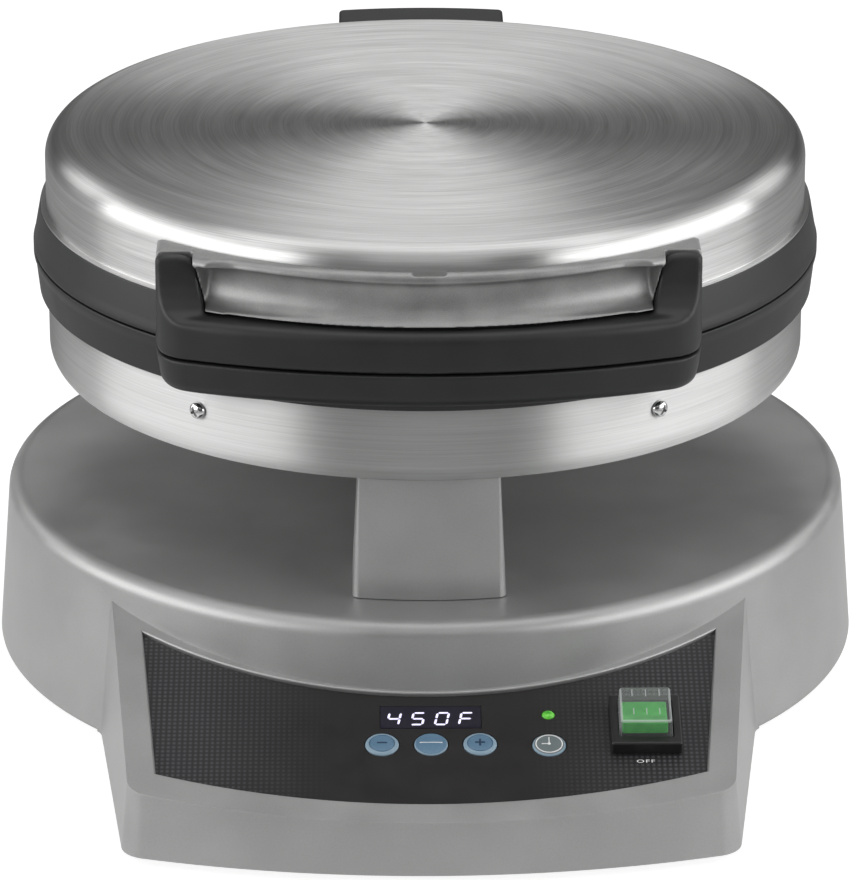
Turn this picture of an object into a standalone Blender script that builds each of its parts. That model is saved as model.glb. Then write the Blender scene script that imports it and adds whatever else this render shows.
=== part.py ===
# Electric crepe maker: a round cast base with a sloped control console, two pedestals, and a
# round cooking head whose lid turns up about a hinge at the back.
# Metres, +Z up, the front faces -Y. The origin lies on the ground under the middle of the
# bounding box. Pieces are modelled round the head's own upright axis and then moved there.

import math

import bmesh
import bpy
from mathutils import Matrix, Vector

# General fits
CLEARANCE = 0.0003
OVERRUN = 0.004
SHEET = 0.0012

# Numbers of facets
ROUND_STEPS = 60
ARC_STEPS = 5
HOLE_STEPS = 16
FINE_STEPS = 12
DISH_STEPS = 36
LOOP_STEPS = 24

# Base drum
FOOT_HEIGHT = 0.004
FOOT_RADIUS = 0.011
FOOT_DRAW = 0.0015
BASE_HEIGHT = 0.0817
BASE_PROUD = 0.0212
BASE_TAPER = 0.0058
BASE_SHOULDER = 0.008
BASE_RIM_ROUND = 0.002
BASE_WALL = 0.003
BASE_PLATE_THICKNESS = 0.0015
BOSS_RADIUS = 0.006
REAR_FOOT_INSET = 0.049
FRONT_FOOT_INSET = 0.0155
FRONT_FOOT_BACK = 0.064

# Console
CONSOLE_PROUD = 0.0877
CONSOLE_HALF_WIDTH = 0.1367
CONSOLE_LEAN_DEG = 6.8
CONSOLE_BOW = 0.450
CONSOLE_CORNER = 0.014
CONSOLE_DEPTH = 0.1989
CONSOLE_DRAFT_DEG = 5.5
CONSOLE_EDGE = 0.003
FASCIA_HEIGHT = 0.025
PANEL_TILT_DEG = 15.5
PANEL_WALL = 0.0023

# Printed sheet in the console's recess, measured up the slope from the console's front edge
RECESS_DEPTH = 0.0027
OVERLAY_THICKNESS = 0.0007
OVERLAY_BOTTOM = 0.0138
OVERLAY_TOP = 0.0906
OVERLAY_SIDE_MARGIN = 0.0124
OVERLAY_BOTTOM_BOW = 0.3684
OVERLAY_TOP_BOW_SHARE = 1.0237

# Display, lamp and buttons on the slope
DISPLAY_UP = 0.0760
DISPLAY_WIDTH = 0.0460
DISPLAY_HEIGHT = 0.0154
MODULE_MARGIN = 0.0020
MODULE_DEPTH = 0.0068
BUTTON_UP = 0.0567
BUTTON_PITCH_SHARE = 0.167
BUTTON_RADIUS = 0.0077
BUTTON_DOME = 0.0016
BUTTON_FLANGE = 0.0012
BUTTON_FLANGE_THICKNESS = 0.0010
BUTTON_TRAVEL = 0.0006
BUTTON_GAP = 0.0004
TIMER_ACROSS_SHARE = 0.4022
TIMER_UP = 0.0559
LAMP_ACROSS_SHARE = 0.4037
LAMP_UP = 0.0774
LAMP_RADIUS = 0.0030
LAMP_DOME = 0.0014
BOARD_THICKNESS = 0.0016
BOARD_MARGIN = 0.0153
BOARD_BOTTOM = 0.0420
BOARD_TOP = 0.0860
SPACER_RADIUS = 0.0025
SPACER_INSET = 0.0045

# Rocker switch on the slope
SWITCH_ACROSS_SHARE = 0.7393
SWITCH_UP = 0.0667
FRAME_WIDTH = 0.0322
FRAME_LENGTH = 0.0351
FRAME_HEIGHT = 0.0063
FRAME_ROUND = 0.0012
COVER_WIDTH = 0.0247
COVER_LENGTH = 0.0256
COVER_DRAW = 0.0008
COVER_RISE = 0.0088
COVER_SHEET = 0.0008
ROCKER_WIDTH = 0.0195
ROCKER_LENGTH = 0.0200
ROCKER_HEIGHT = 0.0074
ROCKER_DIP = 0.0012
ROCKER_LIFT = 0.0015
ROCKER_TILT_DEG = 11.0
ROCKER_PIVOT_RISE = 0.0013
SWITCH_BODY_DEPTH = 0.0260
SWITCH_BODY_MARGIN = 0.0010

# Pedestals between the base and the head
PILLAR_HEIGHT = 0.0593
PILLAR_SETBACK = 0.0067
PILLAR_DEPTH = 0.0450
PILLAR_HALF_WIDTH = 0.0357
PILLAR_DRAFT_DEG = 2.7
PILLAR_CORNER = 0.004
PILLAR_WALL = 0.004
WIRE_HOLE_RADIUS = 0.010

# Head: pan, rings and lid, measured from the plane where the rings meet
PAN_DEPTH = 0.0596
PAN_ROUND = 0.0115
LID_HEIGHT = 0.0565
LID_ROUND = 0.0106
RING_DEPTH = 0.0181
RING_PROUD = 0.0066
RING_GAP = 0.0008
RING_EDGE = 0.0008
RING_FLANGE = 0.0047
UPPER_RING_HEIGHT = 0.0202
UPPER_RING_DRAW = 0.0035
LOWER_RING_HEIGHT = 0.0209
LOWER_RING_DRAW = 0.0025
PLATE_RADIUS = 0.165
PLATE_THICKNESS = 0.014
PLATE_SINK = 0.0006
PLATE_EDGE = 0.0015
REFLECTOR_INSET = 0.015
REFLECTOR_DEPTH = 0.017
ELEMENT_INSET = 0.050
ELEMENT_TUBE = 0.0033
ELEMENT_OPEN_DEG = 24.0
SENSOR_RADIUS = 0.0045
SCREW_AZIMUTH_DEG = 35.5
SCREW_BELOW = 0.0343
SCREW_HEAD_RADIUS = 0.0043
SCREW_HEAD_HEIGHT = 0.0030
SCREW_SHANK_RADIUS = 0.0019
SCREW_LENGTH = 0.0060

# Front handle and its bracket
GRIP_PROUD = 0.0056
GRIP_HALF_WIDTH = 0.1218
GRIP_BOW = 0.320
GRIP_CORNER = 0.015
GRIP_LEAN_DEG = 3.0
GRIP_ROUND = 0.003
UPPER_GRIP_HEIGHT = 0.0200
LOWER_GRIP_HEIGHT = 0.0172
LOWER_GRIP_ROUND = 0.004
ARM_INNER_FOOT = 0.1008
ARM_INNER_TOP = 0.1035
ARM_OUTER_TOP = 0.1242
ARM_OUTER_FOOT = 0.1218
ARM_HEIGHT = 0.0444
ARM_FOOT_DEPTH = 0.0175
ARM_TOP_DEPTH = 0.0065
ARM_CORNER = 0.005
ARM_CROWN = 0.004
EAR_THICKNESS = 0.0022
BRACKET_BOTTOM = 0.0208
BRACKET_TOP = 0.0452
BRACKET_HALF_WIDTH = 0.1245
BRACKET_SIDE_ROUND = 0.003
LIP_PROUD = 0.0046
LIP_BOW = 0.226
LIP_THICKNESS = 0.0028
SCOOP_HALF_ANGLE_DEG = 31.3
SCOOP_SKIN = 0.0019
SCOOP_FOOT_SKIN = 0.0048
NOTCH_HALF_WIDTH = 0.0076
NOTCH_DEPTH = 0.0026
NOTCH_WIDTH = 0.0028

# Hinge at the back
BLOCK_PROUD = 0.0277
BLOCK_HALF_WIDTH = 0.0425
BLOCK_CORNER = 0.003
BLOCK_DEPTH = 0.0477
BLOCK_ROUND = 0.0015
UPPER_BLOCK_HEIGHT = 0.0500
LOWER_BLOCK_HEIGHT = 0.0440
LEAF_HALF_WIDTH = 0.031
LEAF_HEIGHT = 0.032
LEAF_THICKNESS = 0.0025
KNUCKLE_RADIUS = 0.005
KNUCKLE_SHARE = 0.35
PIN_RADIUS = 0.0025
PIN_HEAD_RADIUS = 0.0040
PIN_HEAD_THICKNESS = 0.0015

# Inlet bush in the rear wall
INLET_HEIGHT = 0.031
INLET_RADIUS = 0.0077
INLET_FLANGE_RADIUS = 0.0105
INLET_FLANGE_THICKNESS = 0.0025
INLET_NOSE = 0.0070
INLET_NOSE_DRAW = 0.0022
INLET_BORE = 0.0038
INLET_SPOT_DEPTH = 0.0008

# Heights and places that follow from the sizes above
BASE_TOP = FOOT_HEIGHT + BASE_HEIGHT
PARTING_Z = BASE_TOP + PILLAR_HEIGHT + PAN_DEPTH
DRUM_RADIUS = PLATE_RADIUS + CLEARANCE + RING_DEPTH
RING_RADIUS = DRUM_RADIUS + RING_PROUD
REFLECTOR_RADIUS = PLATE_RADIUS - REFLECTOR_INSET
ELEMENT_RADIUS = PLATE_RADIUS - ELEMENT_INSET
BASE_RADIUS = RING_RADIUS + BASE_PROUD
CONSOLE_REACH = BASE_RADIUS + CONSOLE_PROUD
CONSOLE_ROOT = CONSOLE_REACH - CONSOLE_DEPTH
PILLAR_REACH = DRUM_RADIUS - PILLAR_SETBACK
GRIP_REACH = RING_RADIUS + GRIP_PROUD
LIP_REACH = DRUM_RADIUS + LIP_PROUD
SCOOP_BACK_RADIUS = DRUM_RADIUS + SCOOP_SKIN
SCOOP_FOOT_RADIUS = DRUM_RADIUS + SCOOP_FOOT_SKIN
EAR_REACH = math.sqrt(DRUM_RADIUS ** 2 - ARM_INNER_TOP ** 2) + EAR_THICKNESS
ARM_REACH_FOOT = EAR_REACH + ARM_FOOT_DEPTH
ARM_REACH_TOP = EAR_REACH + ARM_TOP_DEPTH
BLOCK_REACH = RING_RADIUS + BLOCK_PROUD
BLOCK_ROOT = BLOCK_REACH - BLOCK_DEPTH
CONSOLE_LEAN = math.radians(CONSOLE_LEAN_DEG)
CONSOLE_DRAFT = math.tan(math.radians(CONSOLE_DRAFT_DEG))
OVERLAY_BOTTOM_HALF_WIDTH = CONSOLE_HALF_WIDTH - OVERLAY_SIDE_MARGIN
OVERLAY_FLARE = (OVERLAY_TOP - OVERLAY_BOTTOM) * math.tan(CONSOLE_LEAN)
OVERLAY_TOP_HALF_WIDTH = OVERLAY_BOTTOM_HALF_WIDTH + OVERLAY_FLARE
OVERLAY_TOP_BOW = BASE_RADIUS * OVERLAY_TOP_BOW_SHARE
BUTTON_PITCH = OVERLAY_TOP_HALF_WIDTH * BUTTON_PITCH_SHARE
TIMER_ACROSS = OVERLAY_TOP_HALF_WIDTH * TIMER_ACROSS_SHARE
LAMP_ACROSS = OVERLAY_TOP_HALF_WIDTH * LAMP_ACROSS_SHARE
SWITCH_ACROSS = OVERLAY_TOP_HALF_WIDTH * SWITCH_ACROSS_SHARE
BOARD_LEFT = 2 * BUTTON_PITCH
BOARD_RIGHT = TIMER_ACROSS + BOARD_MARGIN
PANEL_TILT = math.radians(PANEL_TILT_DEG)
PANEL_SLOPE = math.tan(PANEL_TILT)
PANEL_EDGE_Y = -(CONSOLE_REACH - FASCIA_HEIGHT * CONSOLE_DRAFT)
PANEL_EDGE_Z = FOOT_HEIGHT + FASCIA_HEIGHT
PANEL = Matrix.Translation((0, PANEL_EDGE_Y, PANEL_EDGE_Z)) @ Matrix.Rotation(PANEL_TILT, 4, "X")
OVERLAY_FACE = OVERLAY_THICKNESS - RECESS_DEPTH
PANEL_BACK = -(RECESS_DEPTH + PANEL_WALL)
BUTTON_SKIRT = PANEL_BACK - CLEARANCE - BUTTON_FLANGE_THICKNESS
BOARD_FACE = PANEL_BACK - 2 * CLEARANCE - MODULE_DEPTH
FRAME_FACE = OVERLAY_FACE + FRAME_HEIGHT
LEAF_FACE_Y = math.sqrt(BLOCK_REACH ** 2 - LEAF_HALF_WIDTH ** 2)
HINGE_Y = LEAF_FACE_Y + LEAF_THICKNESS
HINGE = Vector((0, HINGE_Y, PARTING_Z))
REAR_REACH = max(HINGE_Y + KNUCKLE_RADIUS, BASE_RADIUS)
HEAD_OFFSET_Y = (CONSOLE_REACH - REAR_REACH) / 2


def start_scene():
    """Empty the scene and return the collections for the pieces and for their cutters."""
    for item in list(bpy.data.objects):
        bpy.data.objects.remove(item, do_unlink=True)
    pieces = bpy.data.collections.new("crepe_maker")
    cutters = bpy.data.collections.new("cutters")
    bpy.context.scene.collection.children.link(pieces)
    bpy.context.scene.collection.children.link(cutters)
    return pieces, cutters


PIECES, CUTTERS = start_scene()


def finish(name, colour, roughness, metallic):
    """Make a plain Principled material."""
    made = bpy.data.materials.new(name)
    made.use_nodes = True
    shader = made.node_tree.nodes["Principled BSDF"]
    shader.inputs["Base Color"].default_value = (*colour, 1)
    shader.inputs["Roughness"].default_value = roughness
    shader.inputs["Metallic"].default_value = metallic
    return made


SILVER = finish("silver_paint", (0.47, 0.47, 0.47), 0.45, 0.6)
STEEL = finish("brushed_steel", (0.62, 0.62, 0.61), 0.3, 1)
SATIN = finish("satin_casting", (0.5, 0.5, 0.5), 0.4, 0.9)
BLACK = finish("black_plastic", (0.035, 0.035, 0.035), 0.5, 0)
PRINT = finish("printed_sheet", (0.03, 0.03, 0.033), 0.35, 0)
WINDOW = finish("dark_window", (0.02, 0.02, 0.04), 0.1, 0)
BUTTON = finish("blue_grey_rubber", (0.17, 0.23, 0.29), 0.45, 0)
TIMER = finish("grey_rubber", (0.19, 0.21, 0.21), 0.45, 0)
GREEN = finish("green_lens", (0.08, 0.5, 0.12), 0.2, 0)
CLEAR = finish("clear_cover", (0.8, 0.85, 0.85), 0.1, 0)
PLATE = finish("cooking_plate", (0.04, 0.04, 0.042), 0.4, 0.5)
RUBBER = finish("foot_rubber", (0.03, 0.03, 0.03), 0.8, 0)
BOARD = finish("circuit_board", (0.02, 0.12, 0.05), 0.5, 0)
WORKS = finish("inner_metal", (0.4, 0.4, 0.4), 0.4, 1)


def add_piece(name, mesh, material, frame=None):
    """Put a mesh into the scene as a named piece."""
    mesh.name = name
    piece = bpy.data.objects.new(name, mesh)
    piece.data.materials.append(material)
    piece.matrix_basis = frame or Matrix()
    PIECES.objects.link(piece)
    return piece


def add_cutter(name, mesh, frame=None):
    """Put a mesh into the scene as a shape that only cuts or joins."""
    cutter = bpy.data.objects.new(name, mesh)
    cutter.matrix_basis = frame or Matrix()
    cutter.hide_render = True
    cutter.display_type = "WIRE"
    CUTTERS.objects.link(cutter)
    return cutter


def combine(piece, cutter, operation):
    """Cut a piece by a shape, or join the shape to it."""
    change = piece.modifiers.new(cutter.name, "BOOLEAN")
    change.operation = operation
    change.object = cutter
    change.solver = "EXACT"


def cut(piece, name, mesh, frame=None):
    combine(piece, add_cutter(name, mesh, frame), "DIFFERENCE")


def join(piece, name, mesh, frame=None):
    combine(piece, add_cutter(name, mesh, frame), "UNION")


def mesh_of(shape):
    """Turn a bmesh into a mesh whose faces point out."""
    bmesh.ops.recalc_face_normals(shape, faces=shape.faces[:])
    mesh = bpy.data.meshes.new("shape")
    shape.to_mesh(mesh)
    shape.free()
    return mesh


def arc(centre, radius, start_deg, end_deg, steps=ARC_STEPS):
    """Points along an arc, both ends included."""
    points = []
    for step in range(steps + 1):
        angle = math.radians(start_deg + (end_deg - start_deg) * step / steps)
        points.append((centre[0] + radius * math.cos(angle), centre[1] + radius * math.sin(angle)))
    return points


def box(low, high):
    """A box between two corners."""
    shape = bmesh.new()
    size = Vector(high) - Vector(low)
    place = Matrix.Translation((Vector(high) + Vector(low)) / 2)
    bmesh.ops.create_cube(shape, size=1, matrix=place @ Matrix.Diagonal((*size, 1)))
    return mesh_of(shape)


def rods(places, radius, low, high, steps=HOLE_STEPS):
    """Upright cylinders at several places, in one mesh."""
    shape = bmesh.new()
    for across, along in places:
        place = Matrix.Translation((across, along, (low + high) / 2))
        bmesh.ops.create_cone(shape, cap_ends=True, segments=steps, radius1=radius, radius2=radius,
                              depth=high - low, matrix=place)
    return mesh_of(shape)


def cross_rod(radius, half_length, centre, steps=HOLE_STEPS):
    """A cylinder along X."""
    shape = bmesh.new()
    place = Matrix.Translation(centre) @ Matrix.Rotation(math.radians(90), 4, "Y")
    bmesh.ops.create_cone(shape, cap_ends=True, segments=steps, radius1=radius, radius2=radius,
                          depth=2 * half_length, matrix=place)
    return mesh_of(shape)


def slab(outline, low, high):
    """A flat outline made solid between two heights."""
    curve = bpy.data.curves.new("outline", "CURVE")
    curve.dimensions = "2D"
    curve.fill_mode = "BOTH"
    curve.extrude = (high - low) / 2
    line = curve.splines.new("POLY")
    line.points.add(len(outline) - 1)
    for point, (across, along) in zip(line.points, outline):
        point.co = (across, along, 0, 1)
    line.use_cyclic_u = True
    return curve_mesh(curve, Matrix.Translation((0, 0, (low + high) / 2)))


def curve_mesh(curve, place=None):
    """The closed mesh of a curve, with its caps welded on."""
    guide = bpy.data.objects.new("guide", curve)
    CUTTERS.objects.link(guide)
    bpy.context.view_layer.update()
    mesh = bpy.data.meshes.new_from_object(guide.evaluated_get(bpy.context.evaluated_depsgraph_get()))
    bpy.data.objects.remove(guide)
    shape = bmesh.new()
    shape.from_mesh(mesh)
    bmesh.ops.remove_doubles(shape, verts=shape.verts[:], dist=CLEARANCE / 30)
    bmesh.ops.transform(shape, matrix=place or Matrix(), verts=shape.verts[:])
    return mesh_of(shape)


def loft(rings):
    """A solid through rings of points, closed at its first and last ring."""
    shape = bmesh.new()
    rows = [[shape.verts.new(point) for point in ring] for ring in rings]
    for row, following in zip(rows, rows[1:]):
        for index in range(len(row)):
            after = (index + 1) % len(row)
            shape.faces.new((row[index], row[after], following[after], following[index]))
    shape.faces.new(rows[0])
    shape.faces.new(rows[-1])
    return mesh_of(shape)


def turned(profile, closed=False, steps=ROUND_STEPS):
    """A temporary object turned round Z from (radius, height) points, as a mesh.

    The profile runs down its outer side, so it is reversed where it was written upwards.
    """
    area = 0
    for (r1, z1), (r2, z2) in zip(profile, profile[1:] + profile[:1]):
        area += r1 * z2 - r2 * z1
    points = profile if area < 0 else profile[::-1]
    mesh = bpy.data.meshes.new("profile")
    edges = [(index, index + 1) for index in range(len(points) - 1)]
    if closed:
        edges.append((len(points) - 1, 0))
    mesh.from_pydata([(radius, 0, height) for radius, height in points], edges, [])
    guide = bpy.data.objects.new("profile", mesh)
    CUTTERS.objects.link(guide)
    turn = guide.modifiers.new("turn", "SCREW")
    turn.steps = steps
    turn.render_steps = steps
    turn.use_merge_vertices = True
    turn.merge_threshold = CLEARANCE / 30
    bpy.context.view_layer.update()
    made = bpy.data.meshes.new_from_object(guide.evaluated_get(bpy.context.evaluated_depsgraph_get()))
    bpy.data.objects.remove(guide)
    return made


def round_edges(piece, width, angle_deg=40, segments=2):
    """Round the sharp edges of a piece."""
    edge = piece.modifiers.new("rounded_edges", "BEVEL")
    edge.width = width
    edge.segments = segments
    edge.limit_method = "ANGLE"
    edge.angle_limit = math.radians(angle_deg)
    edge.use_clamp_overlap = True


def bowed_edge(reach, half_width, bow, corner, root, lean=0.0, bow_steps=12):
    """Outline points with their outward normals: a bowed front at -Y, round corners, plain sides.

    The sides lean in towards the front. The last points lie on the straight back at y = -root.
    """
    tilt = math.tan(lean)
    side_start = half_width - corner / math.cos(lean)
    swing = bow - side_start * tilt
    inner = side_start ** 2 + 2 * bow * corner - corner ** 2
    depth = (swing - math.sqrt(swing ** 2 - (1 + tilt ** 2) * inner)) / (1 + tilt ** 2)
    centre = (side_start + depth * tilt, depth - reach)
    bow_centre = bow - reach
    turn_deg = math.degrees(math.atan2(centre[1] - bow_centre, centre[0]))
    lean_deg = math.degrees(lean)
    side_normal = (math.cos(lean), -math.sin(lean))
    back = (half_width + (reach - root) * tilt, -root)
    half = []
    for step in range(bow_steps // 2 + 1):
        angle = math.radians(-90 + (turn_deg + 90) * step / (bow_steps // 2))
        normal = (math.cos(angle), math.sin(angle))
        half.append(((bow * normal[0], bow_centre + bow * normal[1]), normal))
    for step in range(1, ARC_STEPS + 1):
        angle = math.radians(turn_deg + (-lean_deg - turn_deg) * step / ARC_STEPS)
        normal = (math.cos(angle), math.sin(angle))
        half.append(((centre[0] + corner * normal[0], centre[1] + corner * normal[1]), normal))
    half.append((back, side_normal))
    mirrored = [((-point[0], point[1]), (-normal[0], normal[1])) for point, normal in half[1:]]
    return mirrored[::-1] + half


def inset(edge, distance, height):
    """The outline drawn in by a distance, at a height."""
    return [(point[0] - normal[0] * distance, point[1] - normal[1] * distance, height)
            for point, normal in edge]


def flat(edge, distance=0.0):
    return [(point[0], point[1]) for point in inset(edge, distance, 0)]


# Base

def base_radius(height):
    """Radius of the base's wall at a height."""
    low = FOOT_HEIGHT + BASE_RIM_ROUND
    share = (height - low) / (BASE_TOP - BASE_SHOULDER - low)
    return BASE_RADIUS - BASE_TAPER * share


def base_solid():
    shoulder = BASE_RADIUS - BASE_TAPER - BASE_SHOULDER
    profile = [(0, BASE_TOP)]
    profile += arc((shoulder, BASE_TOP - BASE_SHOULDER), BASE_SHOULDER, 90, 0)
    rim = (BASE_RADIUS - BASE_RIM_ROUND, FOOT_HEIGHT + BASE_RIM_ROUND)
    profile += arc(rim, BASE_RIM_ROUND, 0, -90, 2)
    profile += [(0, FOOT_HEIGHT)]
    return turned(profile)


def base_cavity():
    shoulder = BASE_RADIUS - BASE_TAPER - BASE_SHOULDER
    profile = [(0, BASE_TOP - BASE_WALL)]
    profile += arc((shoulder, BASE_TOP - BASE_SHOULDER), BASE_SHOULDER - BASE_WALL, 90, 0, 2)
    profile += [(BASE_RADIUS - BASE_WALL, FOOT_HEIGHT + BASE_RIM_ROUND)]
    profile += [(BASE_RADIUS - BASE_WALL, FOOT_HEIGHT - OVERRUN), (0, FOOT_HEIGHT - OVERRUN)]
    return turned(profile)


def console_edge():
    return bowed_edge(CONSOLE_REACH, CONSOLE_HALF_WIDTH, CONSOLE_BOW, CONSOLE_CORNER,
                      CONSOLE_ROOT, CONSOLE_LEAN)


def console_solid(wall, sink, bottom, rim):
    """The console's block, drawn in by a wall, with its slope sunk by some height."""
    edge = console_edge()
    rings = [inset(edge, wall + rim, bottom)]
    if rim:
        rings.append(inset(edge, wall, bottom + rim))
    tops = []
    for point, normal in edge:
        start = point[1] - normal[1] * wall
        reach = PANEL_EDGE_Z - sink + (start + normal[1] * FOOT_HEIGHT * CONSOLE_DRAFT - PANEL_EDGE_Y) * PANEL_SLOPE
        tops.append(reach / (1 + normal[1] * CONSOLE_DRAFT * PANEL_SLOPE))
    for step in range(4):
        turn = math.radians(30 * step)
        drawn = CONSOLE_EDGE * (1 - math.cos(turn))
        ring = []
        for (point, normal), top in zip(edge, tops):
            distance = wall + (top - FOOT_HEIGHT) * CONSOLE_DRAFT + drawn
            height = top - CONSOLE_EDGE * (1 - math.sin(turn)) - PANEL_SLOPE * normal[1] * drawn
            ring.append((point[0] - normal[0] * distance, point[1] - normal[1] * distance, height))
        rings.append(ring)
    return loft(rings)


def overlay_outline(grow):
    """The printed sheet's outline on the slope, bowed up at both ends."""
    outline = []
    steps = 6
    rows = ((OVERLAY_BOTTOM, OVERLAY_BOTTOM_HALF_WIDTH, OVERLAY_BOTTOM_BOW, -grow, 1),
            (OVERLAY_TOP, OVERLAY_TOP_HALF_WIDTH, OVERLAY_TOP_BOW, grow, -1))
    for level, half_width, bow, shift, way in rows:
        for step in range(-steps, steps + 1):
            across = way * (half_width + grow) * step / steps
            outline.append((across, level + shift + bow - math.sqrt(bow ** 2 - across ** 2)))
    return outline


def rectangle(across, up, width, length):
    return [(across - width / 2, up - length / 2), (across + width / 2, up - length / 2),
            (across + width / 2, up + length / 2), (across - width / 2, up + length / 2)]


def button_places():
    return [(-BUTTON_PITCH, BUTTON_UP), (0, BUTTON_UP), (BUTTON_PITCH, BUTTON_UP),
            (TIMER_ACROSS, TIMER_UP)]


def cut_panel_openings(piece, name, low, high):
    """Cut the openings for the display, the buttons, the lamp and the switch through a layer."""
    window = rectangle(0, DISPLAY_UP, DISPLAY_WIDTH + 2 * CLEARANCE, DISPLAY_HEIGHT + 2 * CLEARANCE)
    cut(piece, name + "_window", slab(window, low, high), PANEL)
    cut(piece, name + "_buttons", rods(button_places(), BUTTON_RADIUS + BUTTON_GAP, low, high), PANEL)
    lamp = rods([(LAMP_ACROSS, LAMP_UP)], LAMP_RADIUS + CLEARANCE, low, high)
    cut(piece, name + "_lamp", lamp, PANEL)
    switch = rectangle(SWITCH_ACROSS, SWITCH_UP, COVER_WIDTH, COVER_LENGTH)
    cut(piece, name + "_switch", slab(switch, low, high), PANEL)


def foot_places():
    """Two feet near the back of the drum and two near the front corners of the console."""
    rear = (BASE_RADIUS - REAR_FOOT_INSET) / math.sqrt(2)
    front_y = FRONT_FOOT_BACK - CONSOLE_REACH
    front_x = CONSOLE_HALF_WIDTH + FRONT_FOOT_BACK * math.tan(CONSOLE_LEAN) - FRONT_FOOT_INSET
    return {"foot_rear_left": (-rear, rear), "foot_rear_right": (rear, rear),
            "foot_front_left": (-front_x, front_y), "foot_front_right": (front_x, front_y)}


def make_base_housing():
    housing = add_piece("base_housing", base_solid(), SILVER)
    join(housing, "console_block", console_solid(0, 0, FOOT_HEIGHT, BASE_RIM_ROUND))
    panel_drop = (RECESS_DEPTH + PANEL_WALL) / math.cos(PANEL_TILT)
    cut(housing, "console_cavity", console_solid(BASE_WALL, panel_drop, FOOT_HEIGHT - OVERRUN, 0))
    cut(housing, "drum_cavity", base_cavity())
    floor = FOOT_HEIGHT + BASE_PLATE_THICKNESS + CLEARANCE
    places = foot_places()
    rear = [places["foot_rear_left"], places["foot_rear_right"]]
    join(housing, "rear_bosses", rods(rear, BOSS_RADIUS, floor, BASE_TOP - BASE_WALL / 2, FINE_STEPS))
    front = [places["foot_front_left"], places["foot_front_right"]]
    front_top = PANEL_EDGE_Z + (front[0][1] - PANEL_EDGE_Y) * PANEL_SLOPE - RECESS_DEPTH
    join(housing, "front_bosses", rods(front, BOSS_RADIUS, floor, front_top, FINE_STEPS))
    recess = slab(overlay_outline(CLEARANCE), -RECESS_DEPTH, OVERRUN)
    cut(housing, "overlay_recess", recess, PANEL)
    cut_panel_openings(housing, "housing", PANEL_BACK - OVERRUN, OVERRUN)
    wire_y = PILLAR_REACH - PILLAR_DEPTH / 2
    wires = rods([(0, -wire_y)], WIRE_HOLE_RADIUS, BASE_TOP - BASE_WALL - OVERRUN, BASE_TOP + OVERRUN)
    cut(housing, "wire_hole", wires)
    centre = FOOT_HEIGHT + INLET_HEIGHT
    spot_y = base_radius(centre) - INLET_SPOT_DEPTH
    away = Matrix.Translation((0, spot_y, centre)) @ Matrix.Rotation(math.radians(-90), 4, "X")
    hole = rods([(0, 0)], INLET_RADIUS + CLEARANCE, -BASE_WALL - OVERRUN, OVERRUN)
    cut(housing, "inlet_hole", hole, away)
    spot = rods([(0, 0)], INLET_FLANGE_RADIUS + CLEARANCE, 0, OVERRUN)
    cut(housing, "inlet_spot", spot, away)


def footprint(inner):
    """The outline of drum and console together, drawn in by a distance."""
    radius = BASE_RADIUS - inner
    edge = flat(console_edge(), inner)
    beyond = [point for point in edge if math.hypot(*point) > radius]
    root, corner = Vector(edge[-1]), Vector(edge[-2])
    run = corner - root
    half_way = root.dot(run) / run.dot(run)
    reach = math.sqrt(half_way ** 2 - (root.dot(root) - radius ** 2) / run.dot(run))
    crossing = root + run * (reach - half_way)
    first_deg = math.degrees(math.atan2(crossing.y, crossing.x))
    drum = arc((0, 0), radius, first_deg, 180 - first_deg, DISH_STEPS)
    return beyond + drum


def make_base_plate():
    outline = footprint(BASE_WALL + 2 * CLEARANCE)
    plate = slab(outline, FOOT_HEIGHT, FOOT_HEIGHT + BASE_PLATE_THICKNESS)
    add_piece("base_plate", plate, WORKS)


def make_feet():
    top = FOOT_HEIGHT - CLEARANCE
    profile = [(0, top), (FOOT_RADIUS, top), (FOOT_RADIUS - FOOT_DRAW, 0), (0, 0)]
    shape = turned(profile, steps=HOLE_STEPS)
    for name, (across, along) in foot_places().items():
        add_piece(name, shape.copy(), RUBBER, Matrix.Translation((across, along, 0)))


def make_inlet_bush():
    centre = FOOT_HEIGHT + INLET_HEIGHT
    spot_y = base_radius(centre) - INLET_SPOT_DEPTH + CLEARANCE
    away = Matrix.Translation((0, spot_y, centre)) @ Matrix.Rotation(math.radians(-90), 4, "X")
    flange = INLET_FLANGE_THICKNESS
    profile = [(INLET_BORE, flange + INLET_NOSE), (INLET_RADIUS - INLET_NOSE_DRAW, flange + INLET_NOSE),
               (INLET_RADIUS, flange), (INLET_FLANGE_RADIUS, flange), (INLET_FLANGE_RADIUS, 0),
               (INLET_RADIUS, 0), (INLET_RADIUS, -BASE_WALL), (INLET_BORE, -BASE_WALL)]
    add_piece("inlet_bush", turned(profile, closed=True, steps=HOLE_STEPS), BLACK, away)


# Console controls, in the panel's own frame: X across, Y up the slope, Z out of it

def make_overlay():
    sheet = add_piece("control_overlay", slab(overlay_outline(0), -RECESS_DEPTH + CLEARANCE, OVERLAY_FACE),
                      PRINT, PANEL)
    cut_panel_openings(sheet, "overlay", -RECESS_DEPTH - OVERRUN, OVERRUN)


def make_display():
    window = rectangle(0, DISPLAY_UP, DISPLAY_WIDTH, DISPLAY_HEIGHT)
    add_piece("display_window", slab(window, PANEL_BACK, OVERLAY_FACE - CLEARANCE), WINDOW, PANEL)
    margin = 2 * MODULE_MARGIN
    module = rectangle(0, DISPLAY_UP, DISPLAY_WIDTH + margin, DISPLAY_HEIGHT + margin)
    add_piece("display_module", slab(module, BOARD_FACE + CLEARANCE, PANEL_BACK - CLEARANCE), BLACK, PANEL)


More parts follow.
